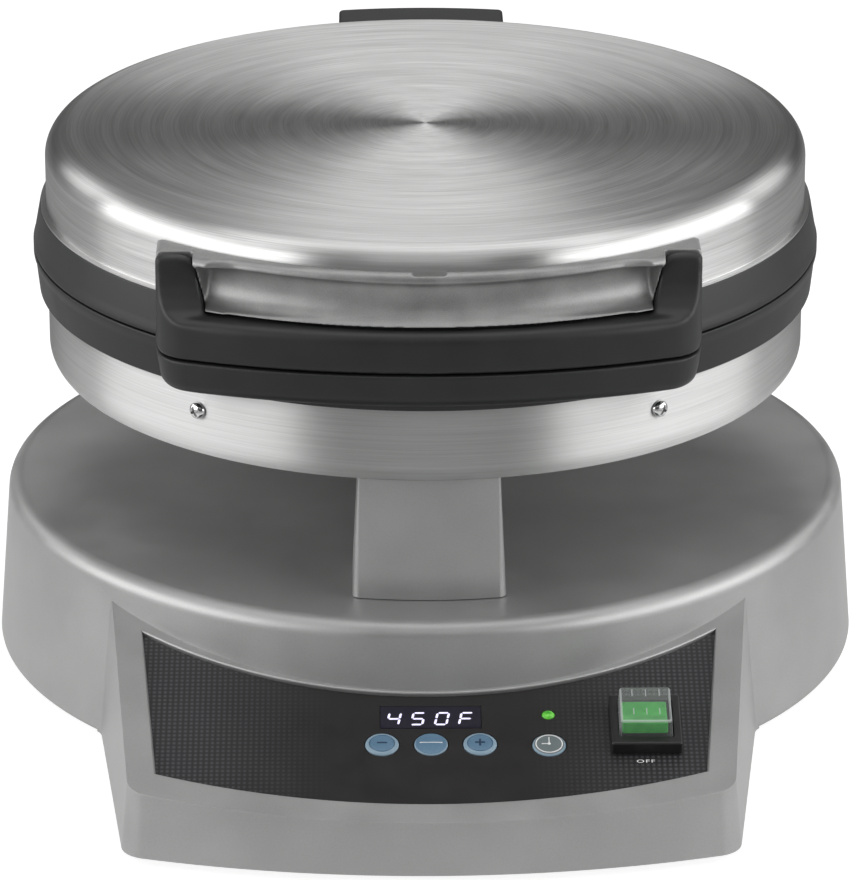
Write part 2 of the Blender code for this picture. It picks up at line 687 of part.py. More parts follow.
def button_profile(radius, dome, skirt):
    """A domed cap with a flange under the panel; heights are measured from the flange's foot."""
    top = OVERLAY_FACE - skirt
    crown = radius / 3
    return [(0, top + dome), (radius - crown, top + dome * 0.9), (radius, top + dome * 0.35),
            (radius, BUTTON_FLANGE_THICKNESS), (radius + BUTTON_FLANGE, BUTTON_FLANGE_THICKNESS),
            (radius + BUTTON_FLANGE, 0), (0, 0)]


def make_buttons():
    names = ("minus_button", "mode_button", "plus_button", "timer_button")
    finishes = (BUTTON, BUTTON, BUTTON, TIMER)
    cap = turned(button_profile(BUTTON_RADIUS, BUTTON_DOME, BUTTON_SKIRT), steps=HOLE_STEPS)
    for name, material, place in zip(names, finishes, button_places()):
        add_piece(name, cap.copy(), material, PANEL @ Matrix.Translation((*place, BUTTON_SKIRT)))
    lens = turned(button_profile(LAMP_RADIUS, LAMP_DOME, BUTTON_SKIRT), steps=FINE_STEPS)
    add_piece("ready_lamp", lens, GREEN, PANEL @ Matrix.Translation((LAMP_ACROSS, LAMP_UP, BUTTON_SKIRT)))


def make_control_board():
    outline = [(-BOARD_LEFT, BOARD_BOTTOM), (BOARD_RIGHT, BOARD_BOTTOM),
               (BOARD_RIGHT, BOARD_TOP), (-BOARD_LEFT, BOARD_TOP)]
    board = add_piece("control_board", slab(outline, BOARD_FACE - BOARD_THICKNESS, BOARD_FACE), BOARD, PANEL)
    left, right = SPACER_INSET - BOARD_LEFT, BOARD_RIGHT - SPACER_INSET
    low, high = BOARD_BOTTOM + SPACER_INSET, BOARD_TOP - SPACER_INSET
    corners = [(left, low), (right, low), (left, high), (right, high)]
    foot = BOARD_FACE - BOARD_THICKNESS / 2
    join(board, "spacers", rods(corners, SPACER_RADIUS, foot, PANEL_BACK - CLEARANCE, FINE_STEPS), PANEL)
    plunger = BUTTON_SKIRT - BUTTON_TRAVEL - CLEARANCE
    join(board, "key_switches", rods(button_places(), SPACER_RADIUS, foot, plunger, FINE_STEPS), PANEL)
    lamp = rods([(LAMP_ACROSS, LAMP_UP)], LAMP_RADIUS, foot, BUTTON_SKIRT - CLEARANCE, FINE_STEPS)
    join(board, "lamp_diode", lamp, PANEL)


def tapered_block(width, length, draw, low, high):
    """A block on the slope over the switch that draws in towards its top."""
    bottom = rectangle(SWITCH_ACROSS, SWITCH_UP, width, length)
    top = rectangle(SWITCH_ACROSS, SWITCH_UP, width - 2 * draw, length - 2 * draw)
    return loft([[(*point, low) for point in bottom], [(*point, high) for point in top]])


def make_switch():
    seat = OVERLAY_FACE + CLEARANCE
    outer = slab(rectangle(SWITCH_ACROSS, SWITCH_UP, FRAME_WIDTH, FRAME_LENGTH), seat, FRAME_FACE)
    frame = add_piece("switch_frame", outer, BLACK, PANEL)
    round_edges(frame, FRAME_ROUND)
    opening = rectangle(SWITCH_ACROSS, SWITCH_UP, COVER_WIDTH + 2 * CLEARANCE, COVER_LENGTH + 2 * CLEARANCE)
    cut(frame, "frame_opening", slab(opening, seat - OVERRUN, FRAME_FACE + OVERRUN), PANEL)

    body_top = OVERLAY_FACE + SWITCH_BODY_MARGIN
    body = rectangle(SWITCH_ACROSS, SWITCH_UP, COVER_WIDTH - 2 * CLEARANCE, COVER_LENGTH - 2 * CLEARANCE)
    add_piece("switch_body", slab(body, body_top - SWITCH_BODY_DEPTH, body_top), BLACK, PANEL)

    foot = body_top + CLEARANCE
    top = FRAME_FACE + COVER_RISE
    cover = add_piece("switch_cover", tapered_block(COVER_WIDTH, COVER_LENGTH, COVER_DRAW, foot, top),
                      CLEAR, PANEL)
    round_edges(cover, COVER_SHEET)
    inner = tapered_block(COVER_WIDTH - 2 * COVER_SHEET, COVER_LENGTH - 2 * COVER_SHEET, COVER_DRAW,
                          foot - OVERRUN, top - COVER_SHEET)
    cut(cover, "cover_hollow", inner, PANEL)

    half = ROCKER_LENGTH / 2
    side = [(-half, ROCKER_LIFT), (half, ROCKER_LIFT), (half, ROCKER_HEIGHT),
            (0, ROCKER_HEIGHT - ROCKER_DIP), (-half, ROCKER_HEIGHT)]
    rings = [[(across, along, up) for along, up in side]
             for across in (-ROCKER_WIDTH / 2, ROCKER_WIDTH / 2)]
    pivot = Matrix.Translation((SWITCH_ACROSS, SWITCH_UP, body_top + ROCKER_PIVOT_RISE))
    tilt = Matrix.Rotation(math.radians(-ROCKER_TILT_DEG), 4, "X")
    add_piece("switch_rocker", loft(rings), GREEN, PANEL @ pivot @ tilt)


# Pedestals

def pillar_solid(wall, grow):
    low, high = BASE_TOP + CLEARANCE, PARTING_Z - PAN_DEPTH - CLEARANCE
    draft = (high - low) * math.tan(math.radians(PILLAR_DRAFT_DEG))
    edge = bowed_edge(PILLAR_REACH, PILLAR_HALF_WIDTH, PILLAR_REACH, PILLAR_CORNER + wall,
                      PILLAR_REACH - PILLAR_DEPTH + wall)
    return loft([inset(edge, wall, low - grow), inset(edge, wall + draft, high + grow)])


def make_pillars():
    for name, turn in (("front_pillar", 0), ("rear_pillar", math.pi)):
        place = Matrix.Rotation(turn, 4, "Z")
        pillar = add_piece(name, pillar_solid(0, 0), SILVER, place)
        cut(pillar, name + "_hollow", pillar_solid(PILLAR_WALL, OVERRUN), place)


# Head

def level(side, distance):
    """Height of something a distance above (side 1) or below (side -1) the parting plane."""
    return PARTING_Z + side * distance


def ring_profile(side, height, draw):
    inner = PLATE_RADIUS + CLEARANCE
    face = RING_GAP / 2
    seat = DRUM_RADIUS + CLEARANCE
    points = [(inner, face), (RING_RADIUS - RING_EDGE, face), (RING_RADIUS, face + RING_EDGE),
              (RING_RADIUS - draw, height), (seat, height), (seat, RING_FLANGE), (inner, RING_FLANGE)]
    return [(radius, level(side, distance)) for radius, distance in points]


def shell_profile(side, height, corner):
    """Pan or lid: a round-cornered drum of sheet, open at the parting plane."""
    rim = RING_FLANGE + CLEARANCE
    centre = (DRUM_RADIUS - corner, height - corner)
    outer = [(0, height)] + arc(centre, corner, 90, 0) + [(DRUM_RADIUS, rim)]
    inner = [(DRUM_RADIUS - SHEET, rim)] + arc(centre, corner - SHEET, 0, 90, 2) + [(0, height - SHEET)]
    return [(radius, level(side, distance)) for radius, distance in outer + inner]


def plate_profile(side):
    face = RING_GAP / 2 + PLATE_SINK
    points = [(0, face), (PLATE_RADIUS - PLATE_EDGE, face), (PLATE_RADIUS, face + PLATE_EDGE),
              (PLATE_RADIUS, face + PLATE_THICKNESS), (0, face + PLATE_THICKNESS)]
    return [(radius, level(side, distance)) for radius, distance in points]


def plate_back():
    return RING_GAP / 2 + PLATE_SINK + PLATE_THICKNESS


def reflector_profile(side):
    rim, floor = plate_back() + CLEARANCE, plate_back() + REFLECTOR_DEPTH
    points = [(0, floor), (REFLECTOR_RADIUS, floor), (REFLECTOR_RADIUS, rim),
              (REFLECTOR_RADIUS - SHEET, rim), (REFLECTOR_RADIUS - SHEET, floor - SHEET), (0, floor - SHEET)]
    return [(radius, level(side, distance)) for radius, distance in points]


def element_mesh(side):
    """A tubular element: one open loop under the plate, its ends bent away from it."""
    loop = plate_back() + ELEMENT_TUBE + CLEARANCE
    end = plate_back() + REFLECTOR_DEPTH - SHEET - CLEARANCE
    start_deg = ELEMENT_OPEN_DEG / 2
    ring = arc((0, 0), ELEMENT_RADIUS, start_deg, 360 - start_deg, LOOP_STEPS)
    points = [(*ring[0], end)] + [(*point, loop) for point in ring] + [(*ring[-1], end)]
    curve = bpy.data.curves.new("element", "CURVE")
    curve.dimensions = "3D"
    curve.bevel_depth = ELEMENT_TUBE
    curve.bevel_resolution = 1
    curve.use_fill_caps = True
    line = curve.splines.new("POLY")
    line.points.add(len(points) - 1)
    for point, (across, along, distance) in zip(line.points, points):
        point.co = (across, along, level(side, distance), 1)
    return curve_mesh(curve)


def make_head_half(name, side, ring_height, ring_draw):
    """The ring, plate, element, reflector and sensor of one half."""
    pieces = [add_piece(name + "_ring", turned(ring_profile(side, ring_height, ring_draw), closed=True), BLACK),
              add_piece(name + "_plate", turned(plate_profile(side)), PLATE),
              add_piece(name + "_element", element_mesh(side), WORKS),
              add_piece(name + "_reflector", turned(reflector_profile(side), steps=DISH_STEPS), WORKS)]
    near, far = plate_back() + CLEARANCE, plate_back() + REFLECTOR_DEPTH - SHEET - CLEARANCE
    low, high = sorted((level(side, near), level(side, far)))
    pieces.append(add_piece(name + "_sensor", rods([(0, 0)], SENSOR_RADIUS, low, high, FINE_STEPS), WORKS))
    return pieces


def screw_frame(side):
    """Frame of a pan screw: its axis runs out of the pan's wall along Z."""
    azimuth = math.radians(SCREW_AZIMUTH_DEG) * side - math.pi / 2
    out = Matrix.Rotation(azimuth, 4, "Z") @ Matrix.Rotation(math.radians(90), 4, "Y")
    return Matrix.Translation((0, 0, level(-1, SCREW_BELOW))) @ out


def make_pan():
    pan = add_piece("lower_pan", turned(shell_profile(-1, PAN_DEPTH, PAN_ROUND)), STEEL)
    wire_y = PILLAR_REACH - PILLAR_DEPTH / 2
    floor = level(-1, PAN_DEPTH)
    cut(pan, "pan_wire_hole", rods([(0, -wire_y)], WIRE_HOLE_RADIUS, floor - OVERRUN, floor + OVERRUN))
    seat = DRUM_RADIUS + CLEARANCE
    head = [(0, seat + SCREW_HEAD_HEIGHT), (SCREW_HEAD_RADIUS / 2, seat + SCREW_HEAD_HEIGHT * 0.9),
            (SCREW_HEAD_RADIUS, seat + SCREW_HEAD_HEIGHT * 0.4), (SCREW_HEAD_RADIUS, seat),
            (SCREW_SHANK_RADIUS, seat), (SCREW_SHANK_RADIUS, seat - SCREW_LENGTH), (0, seat - SCREW_LENGTH)]
    for name, side in (("pan_screw_left", -1), ("pan_screw_right", 1)):
        hole = rods([(0, 0)], SCREW_SHANK_RADIUS + CLEARANCE, seat - OVERRUN, seat + OVERRUN, FINE_STEPS)
        cut(pan, name + "_hole", hole, screw_frame(side))
        add_piece(name, turned(head, steps=FINE_STEPS), STEEL, screw_frame(side))


def make_lid():
    return add_piece("lid_cover", turned(shell_profile(1, LID_HEIGHT, LID_ROUND)), STEEL)


def envelope(side, drum_height, ring_height, ring_draw):
    """Everything inside the head's outer surface, grown by the clearance, on one side."""
    grow = CLEARANCE
    points = [(0, drum_height + OVERRUN), (DRUM_RADIUS + grow, drum_height + OVERRUN),
              (DRUM_RADIUS + grow, ring_height + grow), (RING_RADIUS - ring_draw + grow, ring_height + grow),
              (RING_RADIUS + grow, RING_GAP / 2 + RING_EDGE), (RING_RADIUS + grow, -OVERRUN), (0, -OVERRUN)]
    return turned([(radius, level(side, distance)) for radius, distance in points])


def upper_envelope():
    return envelope(1, LID_HEIGHT, UPPER_RING_HEIGHT, UPPER_RING_DRAW)


def lower_envelope():
    return envelope(-1, PAN_DEPTH, LOWER_RING_HEIGHT, LOWER_RING_DRAW)


# Front handle

def grip_edge():
    return bowed_edge(GRIP_REACH, GRIP_HALF_WIDTH, GRIP_BOW, GRIP_CORNER, EAR_REACH - OVERRUN,
                      math.radians(GRIP_LEAN_DEG), 16)


def rounded_slab(edge, side, near, far, radius):
    """An outline made solid away from the parting plane, its far edge rounded."""
    rings = [inset(edge, 0, level(side, near))]
    for step in range(4):
        turn = math.radians(30 * step)
        rings.append(inset(edge, radius * (1 - math.cos(turn)), level(side, far - radius * (1 - math.sin(turn)))))
    return loft(rings)


def arm_solid(side, grow):
    """A handle's arm: sections that narrow and lean back from the grip up to a rounded top."""
    steps = 6
    back = EAR_REACH + CLEARANCE - grow / 2
    rings = []
    for step in range(steps + 3):
        share = min(step / steps, 1)
        crown = math.radians(45 * max(step - steps, 0))
        ease = share * share * (3 - 2 * share)
        drawn = ARM_CROWN * (1 - math.cos(crown)) - grow
        inner = ARM_INNER_FOOT + (ARM_INNER_TOP - ARM_INNER_FOOT) * share + drawn
        outer = ARM_OUTER_FOOT + (ARM_OUTER_TOP - ARM_OUTER_FOOT) * share - drawn
        front = ARM_REACH_FOOT + (ARM_REACH_TOP - ARM_REACH_FOOT) * ease - drawn / 2
        low = RING_GAP / 2
        height = low + (ARM_HEIGHT - ARM_CROWN - low) * share + ARM_CROWN * math.sin(crown)
        height += grow if step > steps else 0
        corner = min(ARM_CORNER, (front - back) / 2)
        section = [(inner, -back)]
        section += arc((inner + corner, corner - front), corner, 180, 270, 3)
        section += arc((outer - corner, corner - front), corner, 270, 360, 3)
        section += [(outer, -back)]
        rings.append([(side * across, along, level(1, height)) for across, along in section])
    return loft(rings)


def make_upper_handle():
    bar = rounded_slab(grip_edge(), 1, RING_GAP / 2, UPPER_GRIP_HEIGHT, GRIP_ROUND)
    handle = add_piece("upper_handle", bar, BLACK)
    join(handle, "left_arm", arm_solid(-1, 0))
    join(handle, "right_arm", arm_solid(1, 0))
    cut(handle, "handle_seat", upper_envelope())
    return handle


def make_lower_grip():
    bar = rounded_slab(grip_edge(), -1, RING_GAP / 2, LOWER_GRIP_HEIGHT, LOWER_GRIP_ROUND)
    grip = add_piece("lower_grip", bar, BLACK)
    cut(grip, "grip_seat", lower_envelope())


def scoop_solid():
    """The finger scoop: a hollow section swept round the lid's axis."""
    lip_edge = LIP_REACH + 3 * RING_PROUD
    top = BRACKET_TOP - LIP_THICKNESS
    depth = top - BRACKET_BOTTOM
    back = SCOOP_BACK_RADIUS
    section = [(lip_edge, top), (LIP_REACH, top), (back + CLEARANCE, top - depth * 0.12),
               (back, top - depth * 0.3), (back + CLEARANCE, top - depth * 0.55),
               ((back + SCOOP_FOOT_RADIUS) / 2, top - depth * 0.82),
               (SCOOP_FOOT_RADIUS, BRACKET_BOTTOM - CLEARANCE), (SCOOP_FOOT_RADIUS, BRACKET_BOTTOM - OVERRUN),
               (lip_edge, BRACKET_BOTTOM - OVERRUN)]
    rings = []
    steps = 16
    for step in range(steps + 1):
        azimuth = math.radians(SCOOP_HALF_ANGLE_DEG) * (2 * step / steps - 1)
        across, along = math.sin(azimuth), -math.cos(azimuth)
        rings.append([(radius * across, radius * along, level(1, height)) for radius, height in section])
    return loft(rings)


def make_handle_bracket():
    low, high = level(1, BRACKET_BOTTOM), level(1, BRACKET_TOP)
    root = DRUM_RADIUS / 2
    lip = bowed_edge(LIP_REACH, ARM_INNER_TOP + CLEARANCE, LIP_BOW, BRACKET_SIDE_ROUND, root, 0, 18)
    bracket = add_piece("handle_bracket", slab(flat(lip), low, high), SATIN)
    join(bracket, "ears", box((-BRACKET_HALF_WIDTH, -EAR_REACH, low), (BRACKET_HALF_WIDTH, -root, high)))
    cut(bracket, "bracket_seat", upper_envelope())
    cut(bracket, "scoop", scoop_solid())
    cut(bracket, "left_arm_seat", arm_solid(-1, CLEARANCE))
    cut(bracket, "right_arm_seat", arm_solid(1, CLEARANCE))
    notch_back = -(DRUM_RADIUS - OVERRUN)
    notch = box((-NOTCH_HALF_WIDTH, notch_back - OVERRUN - NOTCH_WIDTH, level(1, BRACKET_TOP - NOTCH_DEPTH)),
                (NOTCH_HALF_WIDTH, notch_back, level(1, BRACKET_TOP + OVERRUN)))
    cut(bracket, "notch", notch)
    return bracket


# Rear hinge

def block_edge():
    return bowed_edge(BLOCK_REACH, BLOCK_HALF_WIDTH, BLOCK_REACH, BLOCK_CORNER, BLOCK_ROOT)


def hinge_block(name, side, height, seat):
    """A hinge block that hugs the head, with a pocket for its leaf and room for the knuckles."""
    turn = Matrix.Rotation(math.pi, 4, "Z")
    solid = rounded_slab(block_edge(), side, RING_GAP / 2, height, BLOCK_ROUND)
    block = add_piece(name, solid, BLACK, turn)
    cut(block, name + "_seat", seat)
    far = KNUCKLE_RADIUS + LEAF_HEIGHT + 2 * CLEARANCE
    low, high = sorted((level(side, -OVERRUN), level(side, far)))
    pocket = box((-LEAF_HALF_WIDTH - CLEARANCE, LEAF_FACE_Y - LEAF_THICKNESS - CLEARANCE, low),
                 (LEAF_HALF_WIDTH + CLEARANCE, BLOCK_REACH + OVERRUN, high))
    cut(block, name + "_pocket", pocket)
    reach = LEAF_HALF_WIDTH + PIN_HEAD_THICKNESS + 3 * CLEARANCE
    cut(block, name + "_relief", cross_rod(KNUCKLE_RADIUS + 2 * CLEARANCE, reach, HINGE))
    return block


def hinge_leaf(name, side, spans):
    """A hinge leaf: a plate with a tongue and a knuckle over each span of the pin."""
    near = KNUCKLE_RADIUS + 2 * CLEARANCE
    back, face = LEAF_FACE_Y - LEAF_THICKNESS, LEAF_FACE_Y
    low, high = sorted((level(side, near), level(side, near + LEAF_HEIGHT - 2 * CLEARANCE)))
    leaf = add_piece(name, box((-LEAF_HALF_WIDTH, back, low), (LEAF_HALF_WIDTH, face, high)), WORKS)
    root = KNUCKLE_RADIUS / 2
    for index, (left, right) in enumerate(spans):
        low, high = sorted((level(side, root), level(side, near + root)))
        join(leaf, name + "_tongue_" + str(index), box((left, back, low), (right, face, high)))
        centre = HINGE + Vector(((left + right) / 2, 0, 0))
        knuckle = cross_rod(KNUCKLE_RADIUS, (right - left) / 2, centre)
        join(leaf, name + "_knuckle_" + str(index), knuckle)
    bore = cross_rod(PIN_RADIUS + CLEARANCE, LEAF_HALF_WIDTH + OVERRUN, HINGE)
    cut(leaf, name + "_bore", bore)
    return leaf


def make_hinge():
    """Blocks, leaves and pin; returns the pieces that the lid carries."""
    middle = LEAF_HALF_WIDTH * KNUCKLE_SHARE
    gap = CLEARANCE / 2
    upper = [hinge_block("upper_hinge_block", 1, UPPER_BLOCK_HEIGHT, upper_envelope()),
             hinge_leaf("upper_hinge_leaf", 1, [(-middle + gap, middle - gap)])]
    hinge_block("lower_hinge_block", -1, LOWER_BLOCK_HEIGHT, lower_envelope())
    outer = [(-LEAF_HALF_WIDTH, -middle - gap), (middle + gap, LEAF_HALF_WIDTH)]
    hinge_leaf("lower_hinge_leaf", -1, outer)
    head = LEAF_HALF_WIDTH + CLEARANCE
    tip = head + PIN_HEAD_THICKNESS
    profile = [(0, tip), (PIN_HEAD_RADIUS, tip), (PIN_HEAD_RADIUS, head), (PIN_RADIUS, head),
               (PIN_RADIUS, -head), (PIN_HEAD_RADIUS, -head), (PIN_HEAD_RADIUS, -tip), (0, -tip)]
    along_x = Matrix.Translation(HINGE) @ Matrix.Rotation(math.radians(90), 4, "Y")
    add_piece("hinge_pin", turned(profile, steps=HOLE_STEPS), WORKS, along_x)
    return upper


# Whole assembly

def guide(name, place, parent=None):
    """An empty that carries pieces."""
    empty = bpy.data.objects.new(name, None)
    empty.location = place
    empty.parent = parent
    PIECES.objects.link(empty)
    return empty


def carry(item, empty, place=Vector()):
    """Parent an item to an empty that lies at a place in the head's frame."""
    item.parent = empty
    item.matrix_parent_inverse = Matrix.Translation(-place)


def make_all():
    make_base_housing()
    make_base_plate()
    make_feet()
    make_inlet_bush()
    make_overlay()
    make_display()
    make_buttons()
    make_control_board()
    make_switch()
    make_pillars()
    make_pan()
    make_head_half("lower", -1, LOWER_RING_HEIGHT, LOWER_RING_DRAW)
    make_lower_grip()
    lid = make_head_half("upper", 1, UPPER_RING_HEIGHT, UPPER_RING_DRAW)
    lid += [make_lid(), make_upper_handle(), make_handle_bracket()]
    lid += make_hinge()
    assembly = guide("assembly", (0, HEAD_OFFSET_Y, 0))
    lid_hinge = guide("lid_hinge", HINGE, assembly)
    for item in list(PIECES.objects) + list(CUTTERS.objects):
        if item in (assembly, lid_hinge):
            continue
        if item in lid:
            carry(item, lid_hinge, HINGE)
        else:
            carry(item, assembly)


make_all()
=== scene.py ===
import math

import bmesh
import bpy
from mathutils import Matrix, Vector


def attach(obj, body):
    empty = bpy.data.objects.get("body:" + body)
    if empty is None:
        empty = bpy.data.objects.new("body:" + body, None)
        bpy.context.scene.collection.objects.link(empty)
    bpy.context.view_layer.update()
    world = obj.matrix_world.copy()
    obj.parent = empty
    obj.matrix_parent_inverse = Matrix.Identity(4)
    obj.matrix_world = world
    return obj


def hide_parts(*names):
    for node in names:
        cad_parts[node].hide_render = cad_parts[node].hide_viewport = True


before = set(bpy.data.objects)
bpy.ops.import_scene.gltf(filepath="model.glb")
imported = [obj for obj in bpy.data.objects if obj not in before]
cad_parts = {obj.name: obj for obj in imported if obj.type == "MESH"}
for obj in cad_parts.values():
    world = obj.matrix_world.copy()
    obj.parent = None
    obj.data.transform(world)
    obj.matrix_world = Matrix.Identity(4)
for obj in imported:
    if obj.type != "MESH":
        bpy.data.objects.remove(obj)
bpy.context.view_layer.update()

# Units and fineness
MM = 0.001
ROUND = 240
SMALL_ROUND = 64
FIT = 0.3 * MM
NEAR = 0.002 * MM
SEAM = 0.003 * MM
TOUCH = 0.1 * MM
HEAD_Y = 37.96 * MM
HEAD = Vector((0, HEAD_Y, 0))

# Base casting
FOOT = 4 * MM
BELOW = -6 * MM
UNDERCUT = 1.8 * MM
BASE_R = 211.2 * MM
BASE_NECK_R = 205.4 * MM
BASE_TOP = 85.7 * MM
SHOULDER = 8 * MM
RIM_ROUND = 2 * MM

# Console
REACH = 298.9 * MM
HALF_WIDTH = 136.7 * MM
LEAN = math.radians(6.8)
BOW = 450 * MM
CORNER = 14 * MM
ROOT_FILLET = 10 * MM
DRAFT = math.tan(math.radians(5.5))
CONSOLE_RISE = 84 * MM
TILT = math.radians(15.5)
EDGE_Y = -296.49 * MM
EDGE_Z = 29 * MM
PANEL = Matrix.Translation((0, HEAD_Y + EDGE_Y, EDGE_Z)) @ Matrix.Rotation(TILT, 4, "X")
PANEL_UP = (PANEL.to_3x3() @ Vector((0, 0, 1))).normalized()
SHEET_TOP = -2.0 * MM
RECESS_FLOOR = -2.7 * MM
OPENING_FLOOR = -12 * MM
OPENING_TOP = 6 * MM
DISPLAY_UP = 76 * MM
GLASS_TOP = -1.95 * MM

# Head
PARTING = 204.6 * MM
DRUM_R = 183.4 * MM
RING_R = 190 * MM
PLATE_R = 165 * MM

# Each half of the head: its side of the parting line, the height of its drum, and the height and
# draw-in of its ring, in millimetres
UPPER = (1, 56.5, 20.2, 3.5)
LOWER = (-1, 59.6, 20.9, 2.5)
LIP_TOP = 45.2


# Hand tools

def put_down():
    """Leave edit mode and deselect everything."""
    if bpy.context.object and bpy.context.object.mode != "OBJECT":
        bpy.ops.object.mode_set(mode="OBJECT")
    bpy.ops.object.select_all(action="DESELECT")


def take(piece):
    """Make one piece the selected and active one."""
    put_down()
    piece.hide_set(False)
    piece.select_set(True)
    bpy.context.view_layer.objects.active = piece
    return piece


def edit(piece, kind="VERT"):
    """Open a piece in edit mode with all of it selected."""
    take(piece)
    bpy.ops.object.mode_set(mode="EDIT")
    bpy.ops.mesh.select_mode(type=kind)
    bpy.ops.mesh.select_all(action="SELECT")


def choose(piece, kind, wanted):
    """In edit mode, select only the faces or edges that a test picks."""
    edit(piece, kind)
    bpy.ops.mesh.select_all(action="DESELECT")
    shape = bmesh.from_edit_mesh(piece.data)
    for item in (shape.faces if kind == "FACE" else shape.edges):
        if wanted(item):
            item.select_set(True)
    shape.select_flush_mode()
    bmesh.update_edit_mesh(piece.data)


def settle(piece, place=None):
    """Put a piece in its place and keep that place in its mesh."""
    if place is not None:
        piece.matrix_world = place @ piece.matrix_world
    take(piece)
    bpy.ops.object.transform_apply(location=True, rotation=True, scale=True)
    return piece


def smooth(piece, degrees=30):
    take(piece)
    bpy.ops.object.shade_smooth_by_angle(angle=math.radians(degrees))
    return piece


def modify(piece, kind, **settings):
    """Add a modifier and apply it."""
    take(piece)
    change = piece.modifiers.new(kind.lower(), kind)
    for name, value in settings.items():
        setattr(change, name, value)
    bpy.ops.object.modifier_apply(modifier=change.name)
    return piece


def carve(piece, tool, operation="DIFFERENCE"):
    """Cut a piece with a tool, join the tool to it or keep what both share, and take the tool away."""
    modify(piece, "BOOLEAN", object=tool, operation=operation, solver="MANIFOLD")
    bpy.data.objects.remove(tool, do_unlink=True)
    return piece


def together(name, pieces):
    """Join pieces into one object."""
    put_down()
    for piece in pieces:
        piece.select_set(True)
    bpy.context.view_layer.objects.active = pieces[0]
    bpy.ops.object.join()
    pieces[0].name = name
    return pieces[0]


def flat_normals(piece):
    """Keep flat faces flat beside rounded edges."""
    return modify(piece, "WEIGHTED_NORMAL", mode="FACE_AREA", weight=90, keep_sharp=True)


def arc(centre, radius, start, end, steps=6):
    """Points along an arc between two angles in degrees."""
    points = []
    for step in range(steps + 1):
        angle = math.radians(start + (end - start) * step / steps)
        points.append((centre[0] + radius * math.cos(angle), centre[1] + radius * math.sin(angle)))
    return points


def draw(name, points, closed=False):
    """Draw a line by extruding a single point on and on; a closed line is filled."""
    put_down()
    bpy.ops.mesh.primitive_plane_add(size=MM, location=points[0])
    piece = bpy.context.object
    piece.name = name
    edit(piece)
    bpy.ops.mesh.merge(type="CENTER")
    for here, there in zip(points, points[1:]):
        step = Vector(there) - Vector(here)
        bpy.ops.mesh.extrude_region_move(TRANSFORM_OT_translate={"value": step})
    if closed:
        step = Vector(points[0]) - Vector(points[-1])
        bpy.ops.mesh.extrude_region_move(TRANSFORM_OT_translate={"value": step})
        bpy.ops.mesh.select_all(action="SELECT")
        bpy.ops.mesh.remove_doubles(threshold=NEAR)
        bpy.ops.mesh.edge_face_add()
    put_down()
    return settle(piece)


def turned(name, profile, centre=HEAD, steps=ROUND, closed=False):
    """Spin a profile of (radius, height) points round an upright axis."""
    points = [Vector((radius, 0, height)) + centre for radius, height in profile]
    if closed:
        points.append(points[0])
    piece = draw(name, points)
    edit(piece)
    bpy.ops.mesh.spin(steps=steps, angle=2 * math.pi, center=centre, axis=(0, 0, 1))
    bpy.ops.mesh.select_all(action="SELECT")
    bpy.ops.mesh.remove_doubles(threshold=SEAM)
    bpy.ops.mesh.normals_make_consistent(inside=False)
    return smooth(piece)


def swept(name, section, sweep, centre=HEAD):
    """Spin a closed section of (radius, height) points as many degrees to each side of the front."""
    points = [Vector((0, -radius, height)) + centre for radius, height in section]
    piece = draw(name, points, closed=True)
    half = math.radians(sweep)
    edit(piece)
    bpy.ops.mesh.spin(steps=1, angle=-half, center=centre, axis=(0, 0, 1), dupli=True)
    put_down()
    shape = bmesh.new()
    shape.from_mesh(piece.data)
    shape.faces.ensure_lookup_table()
    middle = [face for face in shape.faces if abs(face.calc_center_median().x) < 0.001 * MM]
    bmesh.ops.delete(shape, geom=middle, context="FACES")
    shape.to_mesh(piece.data)
    shape.free()
    edit(piece)
    bpy.ops.mesh.spin(steps=48, angle=2 * half, center=centre, axis=(0, 0, 1))
    bpy.ops.mesh.select_all(action="SELECT")
    bpy.ops.mesh.remove_doubles(threshold=SEAM)
    bpy.ops.mesh.normals_make_consistent(inside=False)
    put_down()
    return piece


def thicken(piece, step):
    """Draw a flat piece out into a solid."""
    edit(piece, "FACE")
    bpy.ops.mesh.extrude_region_move(TRANSFORM_OT_translate={"value": step})
    bpy.ops.mesh.select_all(action="SELECT")
    bpy.ops.mesh.normals_make_consistent(inside=False)
    put_down()
    return piece


def slab(name, outline, low, high):
    """Fill a flat outline and raise it to a solid."""
    return thicken(draw(name, [(*point, low) for point in outline], closed=True), (0, 0, high - low))


def round_over(piece, wanted, offset, segments, clamp=False):
    """Bevel the edges that a test picks."""
    choose(piece, "EDGE", wanted)
    bpy.ops.mesh.bevel(offset=offset, segments=segments, affect="EDGES", clamp_overlap=clamp)
    put_down()


def scaled(points):
    """Points given in millimetres."""
    return [(across * MM, up * MM) for across, up in points]


def mirrored(half):
    """A right half of an outline with its left half, placed about the head's axis."""
    return [(-x, y + HEAD_Y) for x, y in half[::-1]][:-1] + [(x, y + HEAD_Y) for x, y in half]


def bowed_corner(half_width, reach, bow, corner, lean):
    """Where a bowed front meets the round corner of a leaning side: its centre, and the turn there."""
    tilt = math.tan(lean)
    side_start = half_width - corner / math.cos(lean)
    swing = bow - side_start * tilt
    inner = side_start ** 2 + 2 * bow * corner - corner ** 2
    depth = (swing - math.sqrt(swing ** 2 - (1 + tilt ** 2) * inner)) / (1 + tilt ** 2)
    centre = (side_start + depth * tilt, depth - reach)
    return centre, math.degrees(math.atan2(centre[1] - bow + reach, centre[0]))


def rod(name, place, radius, low, high, sides=SMALL_ROUND):
    put_down()
    bpy.ops.mesh.primitive_cylinder_add(vertices=sides, radius=radius, depth=high - low,
                                        location=(*place, (low + high) / 2))
    piece = bpy.context.object
    piece.name = name
    return settle(piece)


